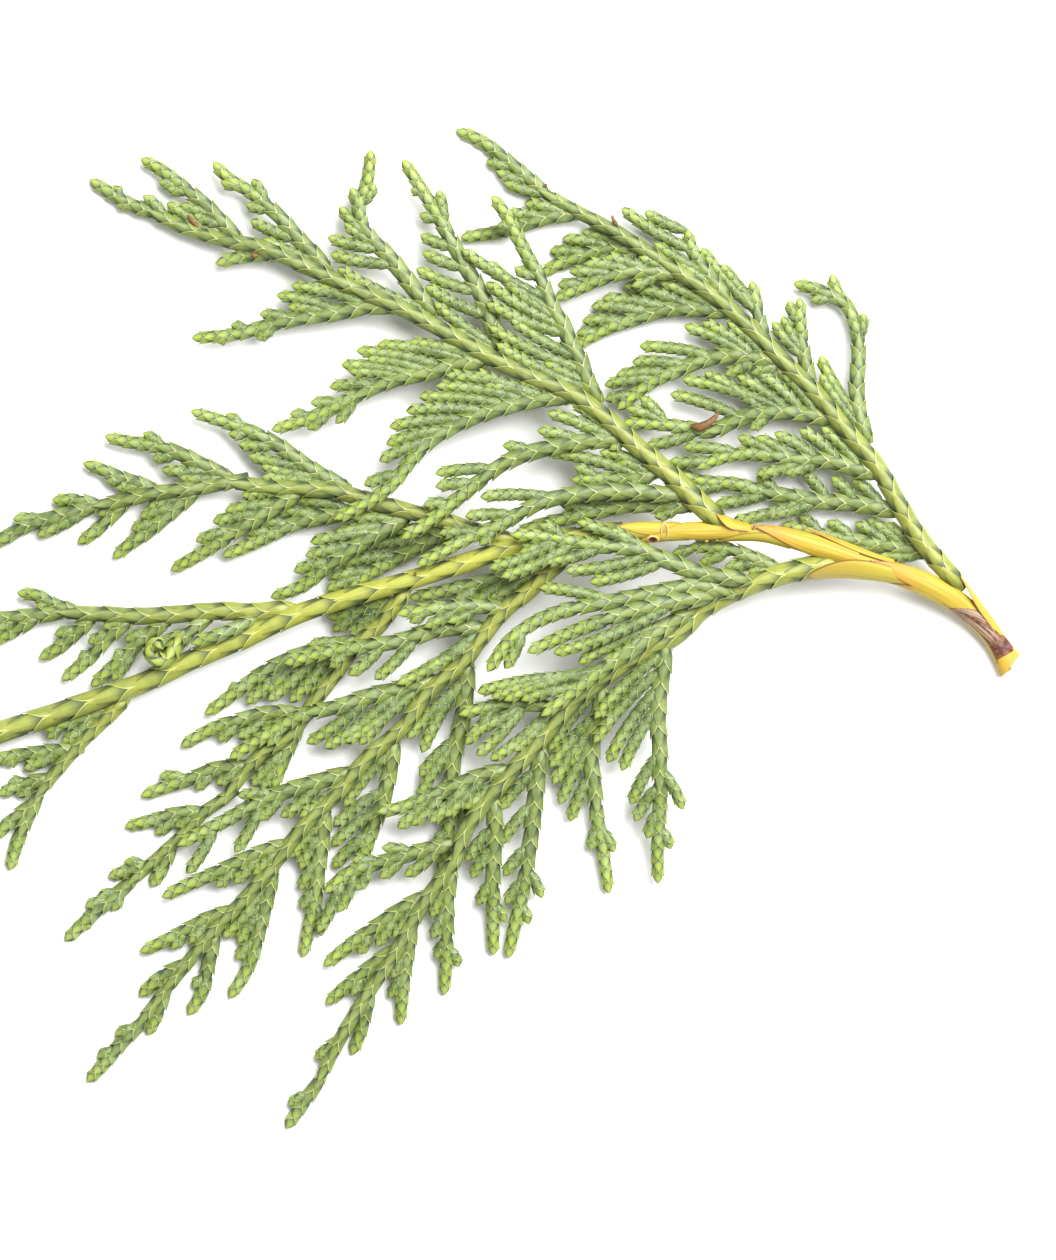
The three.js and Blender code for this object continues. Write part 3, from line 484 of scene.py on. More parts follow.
# The big scales of the old stem, from the cut end on: [base px, tip px, angle at base and tip,
# half spread, height at base and tip, orange, green, brown]. 90 is its top, 0 its lower side.
old_scales = [
    [(1007, 655), (950, 602), 112, 38, 74, 0.05, 0.1, 0.2, 0.0, 1.0],
    [(1000, 662), (958, 612), 2, 4, 36, 0.07, 0.05, 0.0, 0.2, 0.0],
    [(1008, 640), (951, 566), 158, 176, 48, 0.06, 1.6, 0.35, 0.0, 0.0],
    [(958, 605), (889, 577), 8, 2, 66, 0.04, 0.25, 0.5, 0.0, 0.0],
    [(975, 615), (869, 558), 100, 98, 64, 0.06, 0.26, 0.9, 0.0, 0.0],
    [(925, 588), (803, 580), 20, 36, 80, -0.02, 2.5, 0.4, 0.5, 0.0],
    [(890, 570), (799, 528), 172, 168, 46, 0.04, 0.5, 0.9, 0.0, 0.0],
    [(856, 560), (754, 526), 98, 118, 74, 0.04, 0.26, 0.9, 0.0, 0.0],
    [(790, 545), (706, 541), 18, 2, 74, 0.0, 0.35, 0.1, 0.6, 0.0],
    [(748, 528), (709, 500), 150, 168, 62, 0.02, 2.2, 0.6, 0.0, 0.0],
    [(738, 530), (664, 531), 92, 92, 88, 0.04, 0.14, 0.15, 0.0, 0.0],
    [(680, 530), (618, 527), 114, 116, 58, 0.02, 0.16, 0.1, 0.3, 0.0],
    [(690, 536), (628, 545), 40, 18, 50, 0.06, 0.75, 0.1, 0.35, 0.0],
    [(650, 535), (598, 533), 66, 70, 60, 0.0, 0.05, 0.0, 0.9, 0.0],
]

# Round scars: [centre px, angle, height, half length in half widths, half width in radians,
# brown]. The first is the hollow where a side shoot has dropped off, the second the ring of an old
# node, and the others are the dry points of old scales.
old_scars = [
    [(653, 540), 46, 0.34, 0.68, 0.38, 1.0],
    [(664, 531), 86, 0.12, 0.45, 0.95, 0.4],
    [(870, 558), 96, 0.1, 0.22, 0.2, 1.0],
    [(753, 526), 118, 0.1, 0.2, 0.2, 1.0],
    [(706, 541), 6, 0.1, 0.2, 0.2, 1.0],
    [(619, 527), 112, 0.1, 0.22, 0.2, 1.0],
]


def reach(axis, px):
    return axis.at[np.argmin(np.linalg.norm(axis.path[:, :2] - plan(*px), axis=1))]


def add_old_scale(tissue, axis, base, tip, base_angle, tip_angle, spread, base_height, tip_height,
                  orange, green, brown):
    t = np.linspace(0, 1, SCALE_ROWS)[:, None]
    v = np.linspace(-1, 1, SCALE_COLUMNS)[None, :]
    s = reach(axis, base) + (reach(axis, tip) - reach(axis, base)) * t + 0 * v
    into = np.clip((t - 0.35) / 0.65, 0, 1)
    angle = base_angle + (tip_angle - base_angle) * t**1.5 + spread * (1 - into**1.7) ** 0.9 * v
    rise = base_height + (tip_height - base_height) * t**2.2 + 0.07 * np.sin(math.pi * t) * (1 - v**2)
    tissue.add(axis.place(s, np.radians(angle), 1 + rise)[None], False, across=v, along=t,
               edge=(1 - np.abs(v)) * np.radians(spread * (1 - into**1.7) ** 0.9), kind=0,
               chance=tissue.random.random(), tone=orange, fresh=brown, woody=green)


def add_old_scar(tissue, axis, centre, angle, lift, half_length, half_width, brown):
    ring = np.array([0.02, 0.3, 0.55, 0.75, 0.9, 1.0, 1.15])[:, None]
    height = np.array([0.04, 0.04, 0.07, 0.16, 0.18, 0.12, -0.05])[:, None]
    turn = (np.arange(SCAR_SIDES) / SCAR_SIDES * 2 * math.pi)[None, :]
    width = axis.half_width(reach(axis, centre))
    s = reach(axis, centre) + ring * np.cos(turn) * half_length * width
    round_angle = math.radians(angle) + ring * np.sin(turn) * half_width
    dark = brown * np.clip((0.8 - ring) * 8, 0, 1)
    rim = np.clip(1 - np.abs(ring - 0.9) * 6, 0, 1)
    tissue.add(axis.place(s, round_angle, 1 + lift + height + 0 * s)[None], True, across=0, along=0,
               edge=1, kind=rim, chance=0.5, tone=0.0, fresh=dark, woody=0)


def add_cut(tissue, axis):
    """The slanting cut, with a short length of bare wood behind it."""
    turn = (np.arange(CUT_SIDES) / CUT_SIDES * 2 * math.pi)[None, :]
    share = np.array([0.02, 0.5, 0.93, 0.98, 1.0, 1.0, 0.9, 0.02])[:, None]
    flare = np.array([0, 0.05, 0.12, 0.18, 0.18, 0.04, 0, 0])[:, None]
    run = np.array([-0.05, -0.1, -0.25, -0.3, -0.2, 2.0, 4.5, 4.6])[:, None] * 1e-3
    slant = np.array([1, 1, 1, 1, 1, 0.3, 0, 0])[:, None] * CUT_SLANT
    grid = axis.place(run - slant * np.cos(turn), turn + 0 * run, share + flare * np.cos(turn)**2)
    tissue.add(grid[None], True, across=0, along=0.85, edge=1, kind=0, chance=0.3, tone=0.4,
               fresh=0.0, woody=0.0)


main_tissue = Tissue(7)
main_axis = Axis(smooth_line([(*plan(x, y), (z - TABLE_MM) * 1e-3) for x, y, z in main_route]),
                 stem_half_widths(main_route, main_widths)[1:], STEM_FLATNESS, 0, False, False)
golden_length = reach(main_axis, GOLDEN_END_PX)
add_core(main_tissue, main_axis, 0.0, 0.0, 0.0, OLD_CORE_START, golden_length + CORE_OVERLAP)
add_cut(main_tissue, main_axis)
stem_ends.append(plan(*main_route[-1][:2]))
for old_scale in old_scales:
    add_old_scale(main_tissue, main_axis, *old_scale)
for old_scar in old_scars:
    add_old_scar(main_tissue, main_axis, *old_scar)
make_piece("main_stem", main_tissue, old_bark)
young_tissue = Tissue(8)
add_core(young_tissue, main_axis, 0.5, 1.0, 0.0, golden_length)
add_leaves(young_tissue, main_axis, young_habit, golden_length / main_axis.length, 1.0, 0.2)
young_part = make_piece("main_stem", young_tissue, leaf_tissue)
young_part.name = "main_stem_young_leaves"


# The leader tip: the young end of the main stem, which carries its line on, with its own small
# sprays. Like every branch after it, it is a stem in scale leaves with flat shoots on both sides,
# and each shoot carries twigs. A stem keeps its traced widths, and a twig runs to its tip in the photo.
LEAN_DEG = (24, 40)
LEAN_STEPS = 24
LAST_ROOT_STEPS = 4
DROOP = 0.15e-3
DROOP_REACH = 5e-3
TWIG_POINTS = 7
SHOOT_ROLL_DEG = 10
TWIG_ROLL_DEG = 14


def stem_path(route):
    return smooth_line(buried([(*plan(x, y), (z - TABLE_MM) * 1e-3) for x, y, z in route], STEM_BURY))


def shoot_path(route, heights):
    flat = np.array([plan(x, y) for x, y in route])
    at = arc_lengths(flat)
    z = np.interp(at / at[-1], np.linspace(0, 1, len(heights)), heights)
    return smooth_line(buried(np.column_stack([flat, (z - TABLE_MM) * 1e-3])))


def lean_of(path, k, tip):
    """How far a tip lies to the side of a shoot's run from one of its points, in degrees."""
    ahead = path[np.minimum(k + LEAN_STEPS, len(path) - 1), :2] - path[k, :2]
    to_tip = tip - path[k, :2]
    turn = ahead[..., 0] * to_tip[..., 1] - ahead[..., 1] * to_tip[..., 0]
    return np.degrees(np.arctan2(turn, (ahead * to_tip).sum(-1)))


def twig_roots(path, entries):
    """Where each twig leaves its shoot. One with no root given leans as much as the one nearest
    the shoot's base on its side does, so the twigs of a side run parallel."""
    leans = [float(lean_of(path, 0, np.array(plan(*entry[:2])))) for entry in entries]
    roots = []
    for entry, lean in zip(entries, leans):
        if len(entry) > 2:
            roots.append(int(np.argmin(np.linalg.norm(path[:, :2] - plan(*entry[2:]), axis=1))))
            continue
        side = [abs(m) for m, e in zip(leans, entries) if len(e) == 2 and m * lean > 0 and abs(m) < 90]
        wanted = np.clip(max(side, default=0), *LEAN_DEG)
        points = np.arange(len(path) - LAST_ROOT_STEPS)
        far = np.nonzero(np.abs(lean_of(path, points, np.array(plan(*entry[:2])))) >= wanted)[0]
        roots.append(int(far[0]) if len(far) else int(points[-1]))
    return roots


def twig_path(path, root_point, entry, bow):
    tip = np.array(plan(*entry[:2]))
    root = path[root_point]
    run = tip - root[:2]
    t = np.linspace(0, 1, TWIG_POINTS)[:, None]
    # A twig bows away from its shoot's growing end.
    ahead = path[-1, :2] - path[0, :2]
    side = np.array([-run[1], run[0]])
    side *= -np.sign(side @ ahead) * bow
    flat = root[:2] + run * t + side * 4 * t * (1 - t)
    apart = np.linalg.norm(flat[:, None] - path[None, :, :2], axis=2)
    z = path[np.argmin(apart, axis=1), 2] - DROOP * np.clip(apart.min(axis=1) / DROOP_REACH, 0, 1)
    return smooth_line(np.column_stack([flat, z]))


LONG_SHOOT = 0.03
LONG_SHOOT_HALF_WIDTHS = np.array([1.15e-3, 1.15e-3, 0.95e-3, 0.78e-3])
SHORT_SHOOT_HALF_WIDTHS = np.array([0.85e-3, 0.9e-3, 0.88e-3, 0.78e-3])
TWIG_HALF_WIDTHS = [0.72e-3, 0.78e-3, 0.82e-3, 0.76e-3]
SPRAY_FLATNESS = 0.6
TWIG_FLATNESS = 0.7
TWIG_BOW = 0.04
SHOOT_END = 0.62
stem_habit = Habit(length=4.0, rows=8, columns=7, face_spread=48, face_curve=1.5, face_point=0.8,
                   lift=0.05, bulge=0.07, flare=0.13, rim=0.04, side_reach=0.62, twist=8,
                   fresh=(0, 0, 0.1), woody=(1, 0.5))
tip_habit = Habit(length=3.6, rows=8, columns=7, face_spread=48, face_curve=1.5, face_point=0.8,
                  lift=0.06, bulge=0.09, flare=0.16, rim=0.04, side_reach=0.62, twist=8,
                  fresh=(0, 0, 0.2), woody=(0.5, 0.2))
shoot_habit = Habit(length=3.0, rows=7, columns=7, face_spread=46, face_curve=1.5, face_point=0.8,
                    lift=0.1, bulge=0.12, flare=0.24, rim=0.05, side_reach=0.62, twist=6,
                    fresh=(0, 0.05, 0.6), woody=(0.35, 0))
twig_habit = Habit(length=2.5, rows=6, columns=5, face_spread=58, face_curve=2.0, face_point=0.6,
                   lift=0.22, bulge=0.2, flare=0.22, rim=0.04, side_reach=0.6, twist=6,
                   fresh=(0, 0.05, 0.9), woody=(0, 0))


def grow_stems(tissue, stems):
    for route, widths in stems:
        carried_on = in_line(plan(*route[0][:2]))
        half_widths = stem_half_widths(route, widths)
        axis = Axis(stem_path(route), half_widths, STEM_FLATNESS, 0, False, not carried_on)
        add_core(tissue, axis, 0.5, 0.8, 0.0)
        add_leaves(tissue, axis, tip_habit if carried_on else stem_habit)
        stem_ends.append(plan(*route[-1][:2]))


def grow_shoots(tissue, shoots):
    random = tissue.random
    for route, heights, tips in shoots:
        path = shoot_path(route, heights)
        size = min(arc_lengths(path)[-1] / LONG_SHOOT, 1)
        widths = SHORT_SHOOT_HALF_WIDTHS * (1 - size) + LONG_SHOOT_HALF_WIDTHS * size
        roll = math.radians(random.uniform(-SHOOT_ROLL_DEG, SHOOT_ROLL_DEG))
        axis = Axis(path, widths, SPRAY_FLATNESS, roll, True)
        tone = random.random()
        add_core(tissue, axis, tone, 0.2, 0.3)
        add_leaves(tissue, axis, shoot_habit, 0.0, SHOOT_END, tone)
        add_leaves(tissue, axis, twig_habit, SHOOT_END, 1.0, tone)
        for root, entry in zip(twig_roots(path, tips), tips):
            roll = math.radians(random.uniform(-TWIG_ROLL_DEG, TWIG_ROLL_DEG))
            line = twig_path(path, root, entry, TWIG_BOW)
            axis = Axis(line, TWIG_HALF_WIDTHS, TWIG_FLATNESS, roll, True)
            tone = random.random()
            add_core(tissue, axis, tone, 0.0, 0.3)
            add_leaves(tissue, axis, twig_habit, 0.0, 1.0, tone)


def grow(name, stems, shoots):
    """One piece. Its draws are seeded by the letters of its name."""
    tissue = Tissue(sum(place * ord(letter) for place, letter in enumerate(name, 1)) % 1000)
    grow_stems(tissue, stems)
    grow_shoots(tissue, shoots)
    make_piece(name, tissue, leaf_tissue)


leader_pieces = {
    "leader_tip": [
        [[[[-43, 746, 2.8], [-90, 760, 2.5], [-140, 776, 2.1], [-185, 792, 1.6]], [18, 12]]],
        [
            [[[-60, 748], [-85, 716], [-110, 695], [-145, 678]], [2.6, 1.4], [[-112, 674], [-84, 690],
             [-130, 706], [-105, 718], [-80, 728]]],
            [[[-110, 764], [-145, 742], [-180, 735], [-215, 735]], [2.3, 1.2], [[-185, 722],
             [-155, 725], [-188, 750], [-160, 752]]],
            [[[-52, 750], [-68, 780], [-82, 815], [-90, 860]], [2.6, 1.2], [[-65, 838], [-58, 812],
             [-105, 835], [-100, 808], [-88, 785]]],
            [[[-105, 766], [-128, 790], [-145, 822], [-158, 855]], [2.3, 1.2], [[-135, 838],
             [-122, 818], [-162, 828], [-155, 805]]],
            [[[-155, 782], [-178, 802], [-198, 828]], [1.9, 1.1], [[-180, 825], [-195, 808]]],
            [[[-180, 790], [-205, 800], [-240, 815]], [1.6, 0.9], [[-215, 788], [-212, 814],
             [-235, 800]]],
        ],
    ],
}
for name, (stems, shoots) in leader_pieces.items():
    grow(name, stems, shoots)


# Branch A, the upright one near the cut end. A green stem grows from the side of the golden stem
# and forks all the way up; each spray is one flat shoot with its twigs, in scale leaves.
branch_a_pieces = {
    "branch_a_stem": [
        [[[[955, 580, 4.6], [947, 571, 4.9], [932, 554, 5.1], [917, 534, 5.2], [897, 501, 5.4],
         [877, 466, 5.4], [847, 431, 5.4], [814, 391, 5.2], [781, 359, 5.0], [751, 328, 4.8],
         [702, 287, 4.4], [660, 260, 4.0]], [19, 14]]],
        [
            [[[812, 388], [806, 365], [802, 340], [800, 320], [800, 298]], [4.6, 3.6], [[789, 301],
             [783, 317], [773, 322, 798, 358]]],
            [[[765, 338], [758, 315], [755, 298], [752, 281]], [4.6, 3.6], [[702, 248, 750, 312],
             [722, 264, 755, 303], [737, 283]]],
            [[[728, 300], [712, 280], [700, 263], [691, 246], [688, 230]], [4.8, 3.6],
             [[622, 208, 693, 250], [645, 211, 672, 235], [655, 243, 705, 272], [680, 262, 715, 285]]],
            [[[931, 554], [900, 548], [870, 543], [840, 538], [805, 530], [783, 524]], [4.0, 1.4],
             [[800, 516], [828, 521], [856, 523], [868, 519, 908, 548], [886, 524, 920, 552],
             [880, 556, 925, 555], [815, 547], [848, 552]]],
        ],
    ],
    "branch_a_tip": [
        [[[[657, 258, 4.0], [620, 234, 3.6], [575, 210, 3.0], [541, 191, 2.4]], [14, 12]]],
        [
            [[[648, 250], [620, 249], [600, 250], [575, 258], [550, 268], [541, 275]],
             [3.2, 1.8, 1.2], [[583, 231], [563, 238], [550, 251], [608, 236], [590, 267], [615, 262]]],
            [[[578, 214], [550, 216], [530, 222], [500, 231], [461, 237]], [2.8, 1.8], [[525, 203],
             [507, 213]]],
            [[[545, 192], [522, 173], [502, 156], [482, 141], [457, 129]], [2.4, 1.0], [[505, 182],
             [497, 171], [487, 160]]],
        ],
    ],
    "branch_a_right_spray": [
        [],
        [
            [[[868, 438], [861, 420], [857, 390], [859, 350], [856, 325], [847, 305], [838, 293],
             [832, 274]], [4.8, 2.0], [[820, 356], [821, 374], [864, 313, 858, 342]]],
            [[[847, 305], [831, 295], [813, 288], [794, 283]], [2.9, 2.4], [[811, 299]]],
        ],
    ],
    "branch_a_left_spray_1": [
        [],
        [
            [[[903, 512], [880, 508], [850, 503], [820, 501], [790, 496], [760, 491], [740, 485],
             [690, 477], [674, 466]], [4.6, 3.2, 2.2], [[733, 521, 806, 503], [716, 503], [768, 515],
             [757, 477], [803, 472, 830, 500], [832, 477, 858, 502], [852, 478, 884, 506],
             [690, 490, 728, 485]]],
        ],
    ],
    "branch_a_left_spray_2": [
        [],
        [
            [[[882, 474], [860, 470], [830, 461], [800, 460], [770, 455], [740, 454], [712, 461],
             [697, 468]], [5.2, 4.0], [[684, 447], [738, 437], [757, 437], [775, 433, 820, 459],
             [800, 429, 842, 463], [822, 427, 862, 470], [842, 438, 878, 474], [757, 474], [785, 473],
             [670, 461, 715, 459]]],
        ],
    ],
    "branch_a_left_spray_3": [
        [],
        [
            [[[834, 420], [810, 415], [780, 411], [750, 415], [730, 423], [712, 431], [690, 428],
             [660, 424], [623, 423]], [5.0, 3.8], [[671, 394, 740, 415], [683, 379],
             [705, 373, 765, 408], [738, 376, 790, 408], [760, 372, 805, 411], [778, 368, 818, 415],
             [627, 408, 668, 421], [646, 446, 700, 431], [641, 397, 668, 420], [750, 429]]],
        ],
    ],
    "branch_a_left_spray_4": [
        [],
        [
            [[[776, 362], [750, 356], [720, 356], [700, 361], [680, 369], [655, 380], [635, 394],
             [618, 409]], [4.7, 3.4], [[685, 326, 748, 350], [703, 322, 757, 352],
             [728, 322, 768, 356], [640, 346], [633, 362], [617, 375], [605, 385],
             [606, 400, 635, 395], [725, 374], [752, 372]]],
        ],
    ],
    "branch_a_left_spray_5": [
        [],
        [
            [[[731, 313], [700, 309], [670, 309], [640, 317], [610, 327], [590, 337], [575, 346]],
             [4.0, 2.8, 2.2], [[660, 281], [685, 291], [625, 285], [603, 298], [592, 306], [583, 321],
             [577, 334]]],
        ],
    ],
    "branch_a_left_spray_6": [
        [],
        [
            [[[676, 275], [650, 271], [620, 273], [600, 279], [575, 290], [555, 299]],
             [4.0, 4.6, 3.9], [[605, 257], [585, 263], [570, 272], [558, 285], [632, 286], [640, 257]]],
        ],
    ],
}
for name, (stems, shoots) in branch_a_pieces.items():
    grow(name, stems, shoots)


# Branch B leaves the main stem on the upper side and lies back to the left. Long sprays stand off
# it on both sides, and those on its lower side reach towards the main stem.
branch_b_pieces = {
    "branch_b_stem": [
        [[[[717, 519, 8.4], [704, 508, 8.7], [672, 477, 8.8], [637, 447, 8.6], [608, 420, 8.4],
         [574, 395, 8.0], [530, 376, 7.6], [490, 357, 7.2], [449, 334, 6.8], [400, 308, 6.2],
         [350, 287, 5.6]], [22, 17, 16, 14]]],
        [
            [[[657, 473], [625, 479], [600, 479], [572, 480]], [8.2, 7.0], [[600, 452],
             [548, 452, 640, 474], [575, 467], [590, 490], [620, 462], [622, 486, 660, 480]]],
        ],
    ],
    "branch_b_tip": [
        [[[[347, 285, 5.6], [300, 264, 5.0], [260, 247, 4.4], [220, 239, 3.6], [190, 230, 3.0],
         [150, 212, 2.2]], [15, 13]]],
        [
            [[[327, 268], [312, 252], [297, 237], [282, 219], [266, 204], [252, 193], [225, 175],
             [213, 162]], [4.6, 3.0], [[221, 181], [246, 204], [251, 220, 297, 243], [264, 239],
             [252, 179]]],
            [[[238, 238], [217, 217], [201, 201], [187, 190], [160, 169], [141, 158]], [3.6, 2.0],
             [[159, 181], [167, 187], [181, 204], [194, 214]]],
            [[[285, 255], [255, 255], [240, 257], [216, 263]], [4.2, 3.2], [[236, 249]]],
            [[[215, 237], [190, 229], [165, 217], [150, 211]], [3.4, 2.2], [[143, 195, 166, 217],
             [167, 203, 205, 233]]],
            [[[152, 213], [126, 202], [106, 190], [90, 179]], [2.2, 1.0], [[117, 204], [113, 185]]],
        ],
    ],
    "branch_b_up_spray_1": [
        [],
        [
            [[[598, 398], [589, 385], [580, 360], [571, 345], [563, 325], [553, 310], [541, 280],
             [532, 265], [519, 240], [506, 215], [492, 196]], [7.8, 7.9, 7.0, 5.6],
             [[463, 250, 545, 300], [488, 262, 552, 315], [505, 280, 556, 322], [487, 283, 562, 330],
             [487, 303], [511, 319, 580, 357], [490, 327], [497, 344], [515, 268, 535, 282],
             [498, 224], [545, 362], [510, 366]]],
        ],
    ],
    "branch_b_up_spray_2": [
        [],
        [
            [[[497, 345], [487, 308], [475, 283], [463, 262], [451, 240], [439, 218], [426, 196],
             [414, 177], [403, 160]], [6.2, 5.0, 3.6], [[411, 189], [420, 214], [421, 235], [423, 252],
             [417, 269], [426, 286], [435, 303], [455, 329], [438, 190, 446, 226]]],
        ],
    ],
    "branch_b_up_spray_3": [
        [],
        [
            [[[433, 312], [420, 297], [405, 277], [386, 253], [371, 238], [361, 222], [359, 205],
             [366, 186], [371, 150]], [5.2, 4.6, 3.4], [[328, 237, 380, 250], [331, 254, 393, 265],
             [338, 268], [340, 207], [351, 188], [375, 184, 363, 207], [345, 223, 375, 245],
             [352, 279]]],
        ],
    ],
    "branch_b_low_spray_1": [
        [],
        [
            [[[396, 308], [370, 306], [340, 312], [300, 318], [270, 325], [240, 333], [192, 338]],
             [5.6, 3.4], [[312, 284], [292, 286], [277, 295], [288, 307, 330, 313], [260, 314],
             [231, 325], [340, 290], [257, 339], [217, 342]]],
        ],
    ],
    "branch_b_low_spray_2": [
        [],
        [
            [[[486, 361], [460, 363], [430, 372], [400, 378], [370, 389], [350, 399], [320, 414],
             [272, 430]], [6.8, 4.8], [[410, 342], [378, 345], [357, 351], [368, 359], [342, 365],
             [350, 372], [330, 387], [311, 403], [290, 414], [336, 423, 358, 400],
             [308, 429, 332, 410], [440, 345]]],
        ],
    ],
    "branch_b_low_spray_3": [
        [],
        [
            [[[571, 398], [550, 398], [520, 403], [490, 411], [460, 423], [430, 441], [410, 461],
             [395, 481], [370, 501], [335, 519]], [7.6, 7.4, 7.3, 6.9], [[447, 375], [437, 386],
             [420, 397], [407, 411], [390, 427], [387, 444], [380, 461], [365, 485], [485, 385],
             [520, 382], [474, 373, 530, 393]]],
        ],
    ],
    "branch_b_low_spray_4": [
        [],
        [
            [[[618, 440], [590, 441], [560, 446], [530, 453], [500, 466], [480, 481], [455, 501],
             [430, 521], [402, 538]], [8.2, 7.7, 7.7], [[503, 446], [538, 431], [436, 474], [436, 487],
             [424, 505], [548, 413, 612, 432], [572, 402, 618, 430], [575, 424], [610, 450]]],
        ],
    ],
    "branch_b_low_spray_5": [
        [],
        [
            [[[678, 496], [630, 492], [600, 492], [568, 496], [542, 502], [517, 515], [500, 525],
             [470, 537], [441, 553], [418, 565]], [8.8, 9.4], [[481, 497], [466, 517], [440, 534],
             [480, 545]]],
        ],
    ],
    "branch_b_low_spray_6": [
        [],
        [
            [[[694, 506], [660, 505], [630, 505], [600, 511], [570, 518], [540, 525], [515, 534]],
             [7.8, 5.4], [[560, 504], [585, 499], [625, 493], [655, 517]]],
        ],
    ],
}
for name, (stems, shoots) in branch_b_pieces.items():
    grow(name, stems, shoots)


# Branch C bends down from the old stem and reaches the lowest point of the photo. A fan of long
# narrow sprays opens inside the bend, and the others stand off its stem on both sides.
branch_c_pieces = {
    "branch_c_stem": [
        [[[[832, 564, 6.8], [800, 570, 7.0], [757, 582, 7.2], [738, 590, 7.2], [703, 609, 7.1],
         [674, 637, 7.0], [650, 648, 6.9], [600, 680, 6.6], [575, 699, 6.4], [545, 734, 6.1],
         [510, 774, 5.8], [480, 809, 5.5], [464, 834, 5.2], [454, 860, 4.8]], [22, 18, 16, 14]]],
        [
            [[[775, 567], [760, 561], [735, 551], [715, 547], [690, 547]], [7.4, 6.0], [[700, 562],
             [725, 566], [748, 571], [673, 553]]],
            [[[548, 706], [520, 703], [490, 707], [460, 714]], [6.6, 6.8], [[466, 744], [477, 755],
             [491, 760], [514, 751], [470, 732, 525, 706]]],
        ],
    ],
    "branch_c_tip": [
        [[[[453, 863, 4.8], [425, 901, 4.4], [396, 951, 3.6], [363, 1001, 2.8], [339, 1041, 2.2],
         [319, 1081, 1.6]], [14, 12]]],
        [
            [[[398, 947], [367, 970], [346, 987], [326, 1004]], [3.4, 1.6], [[368, 986], [352, 996]]],
            [[[338, 1040], [327, 1050], [315, 1059]], [2.2, 1.6], []],
            [[[320, 1080], [303, 1104], [286, 1128]], [1.7, 0.9], [[288, 1106]]],
            [[[412, 925], [407, 955], [403, 985], [400, 1025]], [3.8, 1.1], [[392, 978], [390, 998]]],
            [[[370, 990], [361, 1030], [352, 1055]], [2.8, 1.0], []],
            [[[452, 872], [447, 900], [447, 930], [446, 960], [444, 995]], [4.6, 1.2], [[431, 917],
             [433, 939], [436, 959], [459, 967, 447, 945]]],
        ],
    ],
    "branch_c_up_spray": [
        [],
        [
            [[[745, 580], [700, 573], [660, 558], [640, 550], [600, 546], [570, 541], [545, 537],
             [512, 535]], [9.4, 10.8], [[578, 522, 640, 550], [610, 530], [540, 524],
             [566, 571, 650, 556], [590, 582, 665, 562], [545, 562], [520, 552], [490, 568, 560, 540],
             [502, 577, 575, 543]]],
        ],
    ],
    "branch_c_fan_1": [
        [],
        [
            [[[728, 593], [700, 586], [660, 592], [620, 600], [590, 605], [560, 612], [530, 625],
             [510, 640], [488, 671]], [9.2, 10.6, 10.7], [[505, 668, 524, 630], [540, 588, 612, 602]]],
            [[[712, 596], [670, 603], [620, 615], [575, 631], [528, 652]], [9.2, 10.6, 10.6, 10.4],
             [[554, 653, 675, 602]]],
        ],
    ],
    "branch_c_fan_2": [
        [],
        [
            [[[695, 610], [668, 625], [645, 641], [618, 659], [592, 677], [566, 697], [542, 715]],
             [7.8, 8.8, 9.0, 8.7], [[522, 700], [505, 700, 590, 655], [492, 697, 585, 655],
             [478, 692, 575, 650], [579, 663, 672, 622], [605, 665, 660, 631]]],
        ],
    ],
    "branch_c_down_spray": [
        [],
        [
            [[[665, 645], [664, 660], [660, 690], [658, 720], [660, 750], [660, 780], [660, 810],
             [658, 840], [658, 883]], [7.4, 6.8, 6.4, 5.6, 4.2, 2.6], [[595, 718, 664, 652],
             [594, 742, 662, 668], [608, 762, 660, 685], [622, 770, 658, 705], [631, 804, 660, 752],
             [635, 821, 660, 785], [647, 838, 660, 808], [683, 809, 660, 768], [671, 849, 659, 825]]],
        ],
    ],
    "branch_c_left_spray_1": [
        [],
        [
            [[[506, 769], [480, 776], [455, 786], [430, 796], [400, 808], [378, 812]], [5.8, 5.2],
             [[465, 808], [445, 816], [430, 822], [412, 825], [398, 828]]],
        ],
    ],
    "branch_c_left_spray_2": [
        [],
        [
            [[[452, 843], [425, 850], [400, 857], [380, 863], [350, 872], [325, 893]], [4.8, 3.6],
             [[382, 848], [352, 860], [405, 876], [380, 878, 405, 858], [318, 932, 342, 876],
             [338, 912, 356, 870], [356, 890, 372, 866]]],
        ],
    ],
    "branch_c_left_spray_3": [
        [],
        [
            [[[427, 895], [402, 909], [378, 925], [354, 942], [324, 966]], [4.2, 2.4], [[393, 937],
             [376, 946], [358, 954]]],
        ],
    ],
    "branch_c_right_spray_1": [
        [],
        [
            [[[602, 690], [600, 710], [593, 740], [591, 760], [595, 790], [597, 815], [603, 850],
             [609, 893]], [5.8, 4.0, 3.2, 2.4, 1.6], [[549, 750], [550, 767], [553, 784], [560, 804],
             [570, 821], [571, 765, 596, 728], [591, 850], [614, 852, 600, 826]]],
        ],
    ],
    "branch_c_right_spray_2": [
        [],
        [
            [[[541, 750], [537, 780], [533, 820], [528, 860], [521, 900], [514, 930], [508, 958]],
             [5.6, 3.8, 1.6], [[501, 809, 539, 768], [501, 844, 535, 802], [504, 876, 530, 845],
             [506, 904, 525, 878], [542, 898, 527, 868], [529, 924, 520, 903]]],
        ],
    ],
    "branch_c_right_spray_3": [
        [],
        [
            [[[494, 802], [495, 830], [493, 870], [493, 910], [493, 955]], [5.6, 1.4],
             [[466, 861, 495, 826], [472, 878, 494, 845], [478, 905, 493, 880], [505, 922, 493, 902]]],
        ],
    ],
}
for name, (stems, shoots) in branch_c_pieces.items():
    grow(name, stems, shoots)


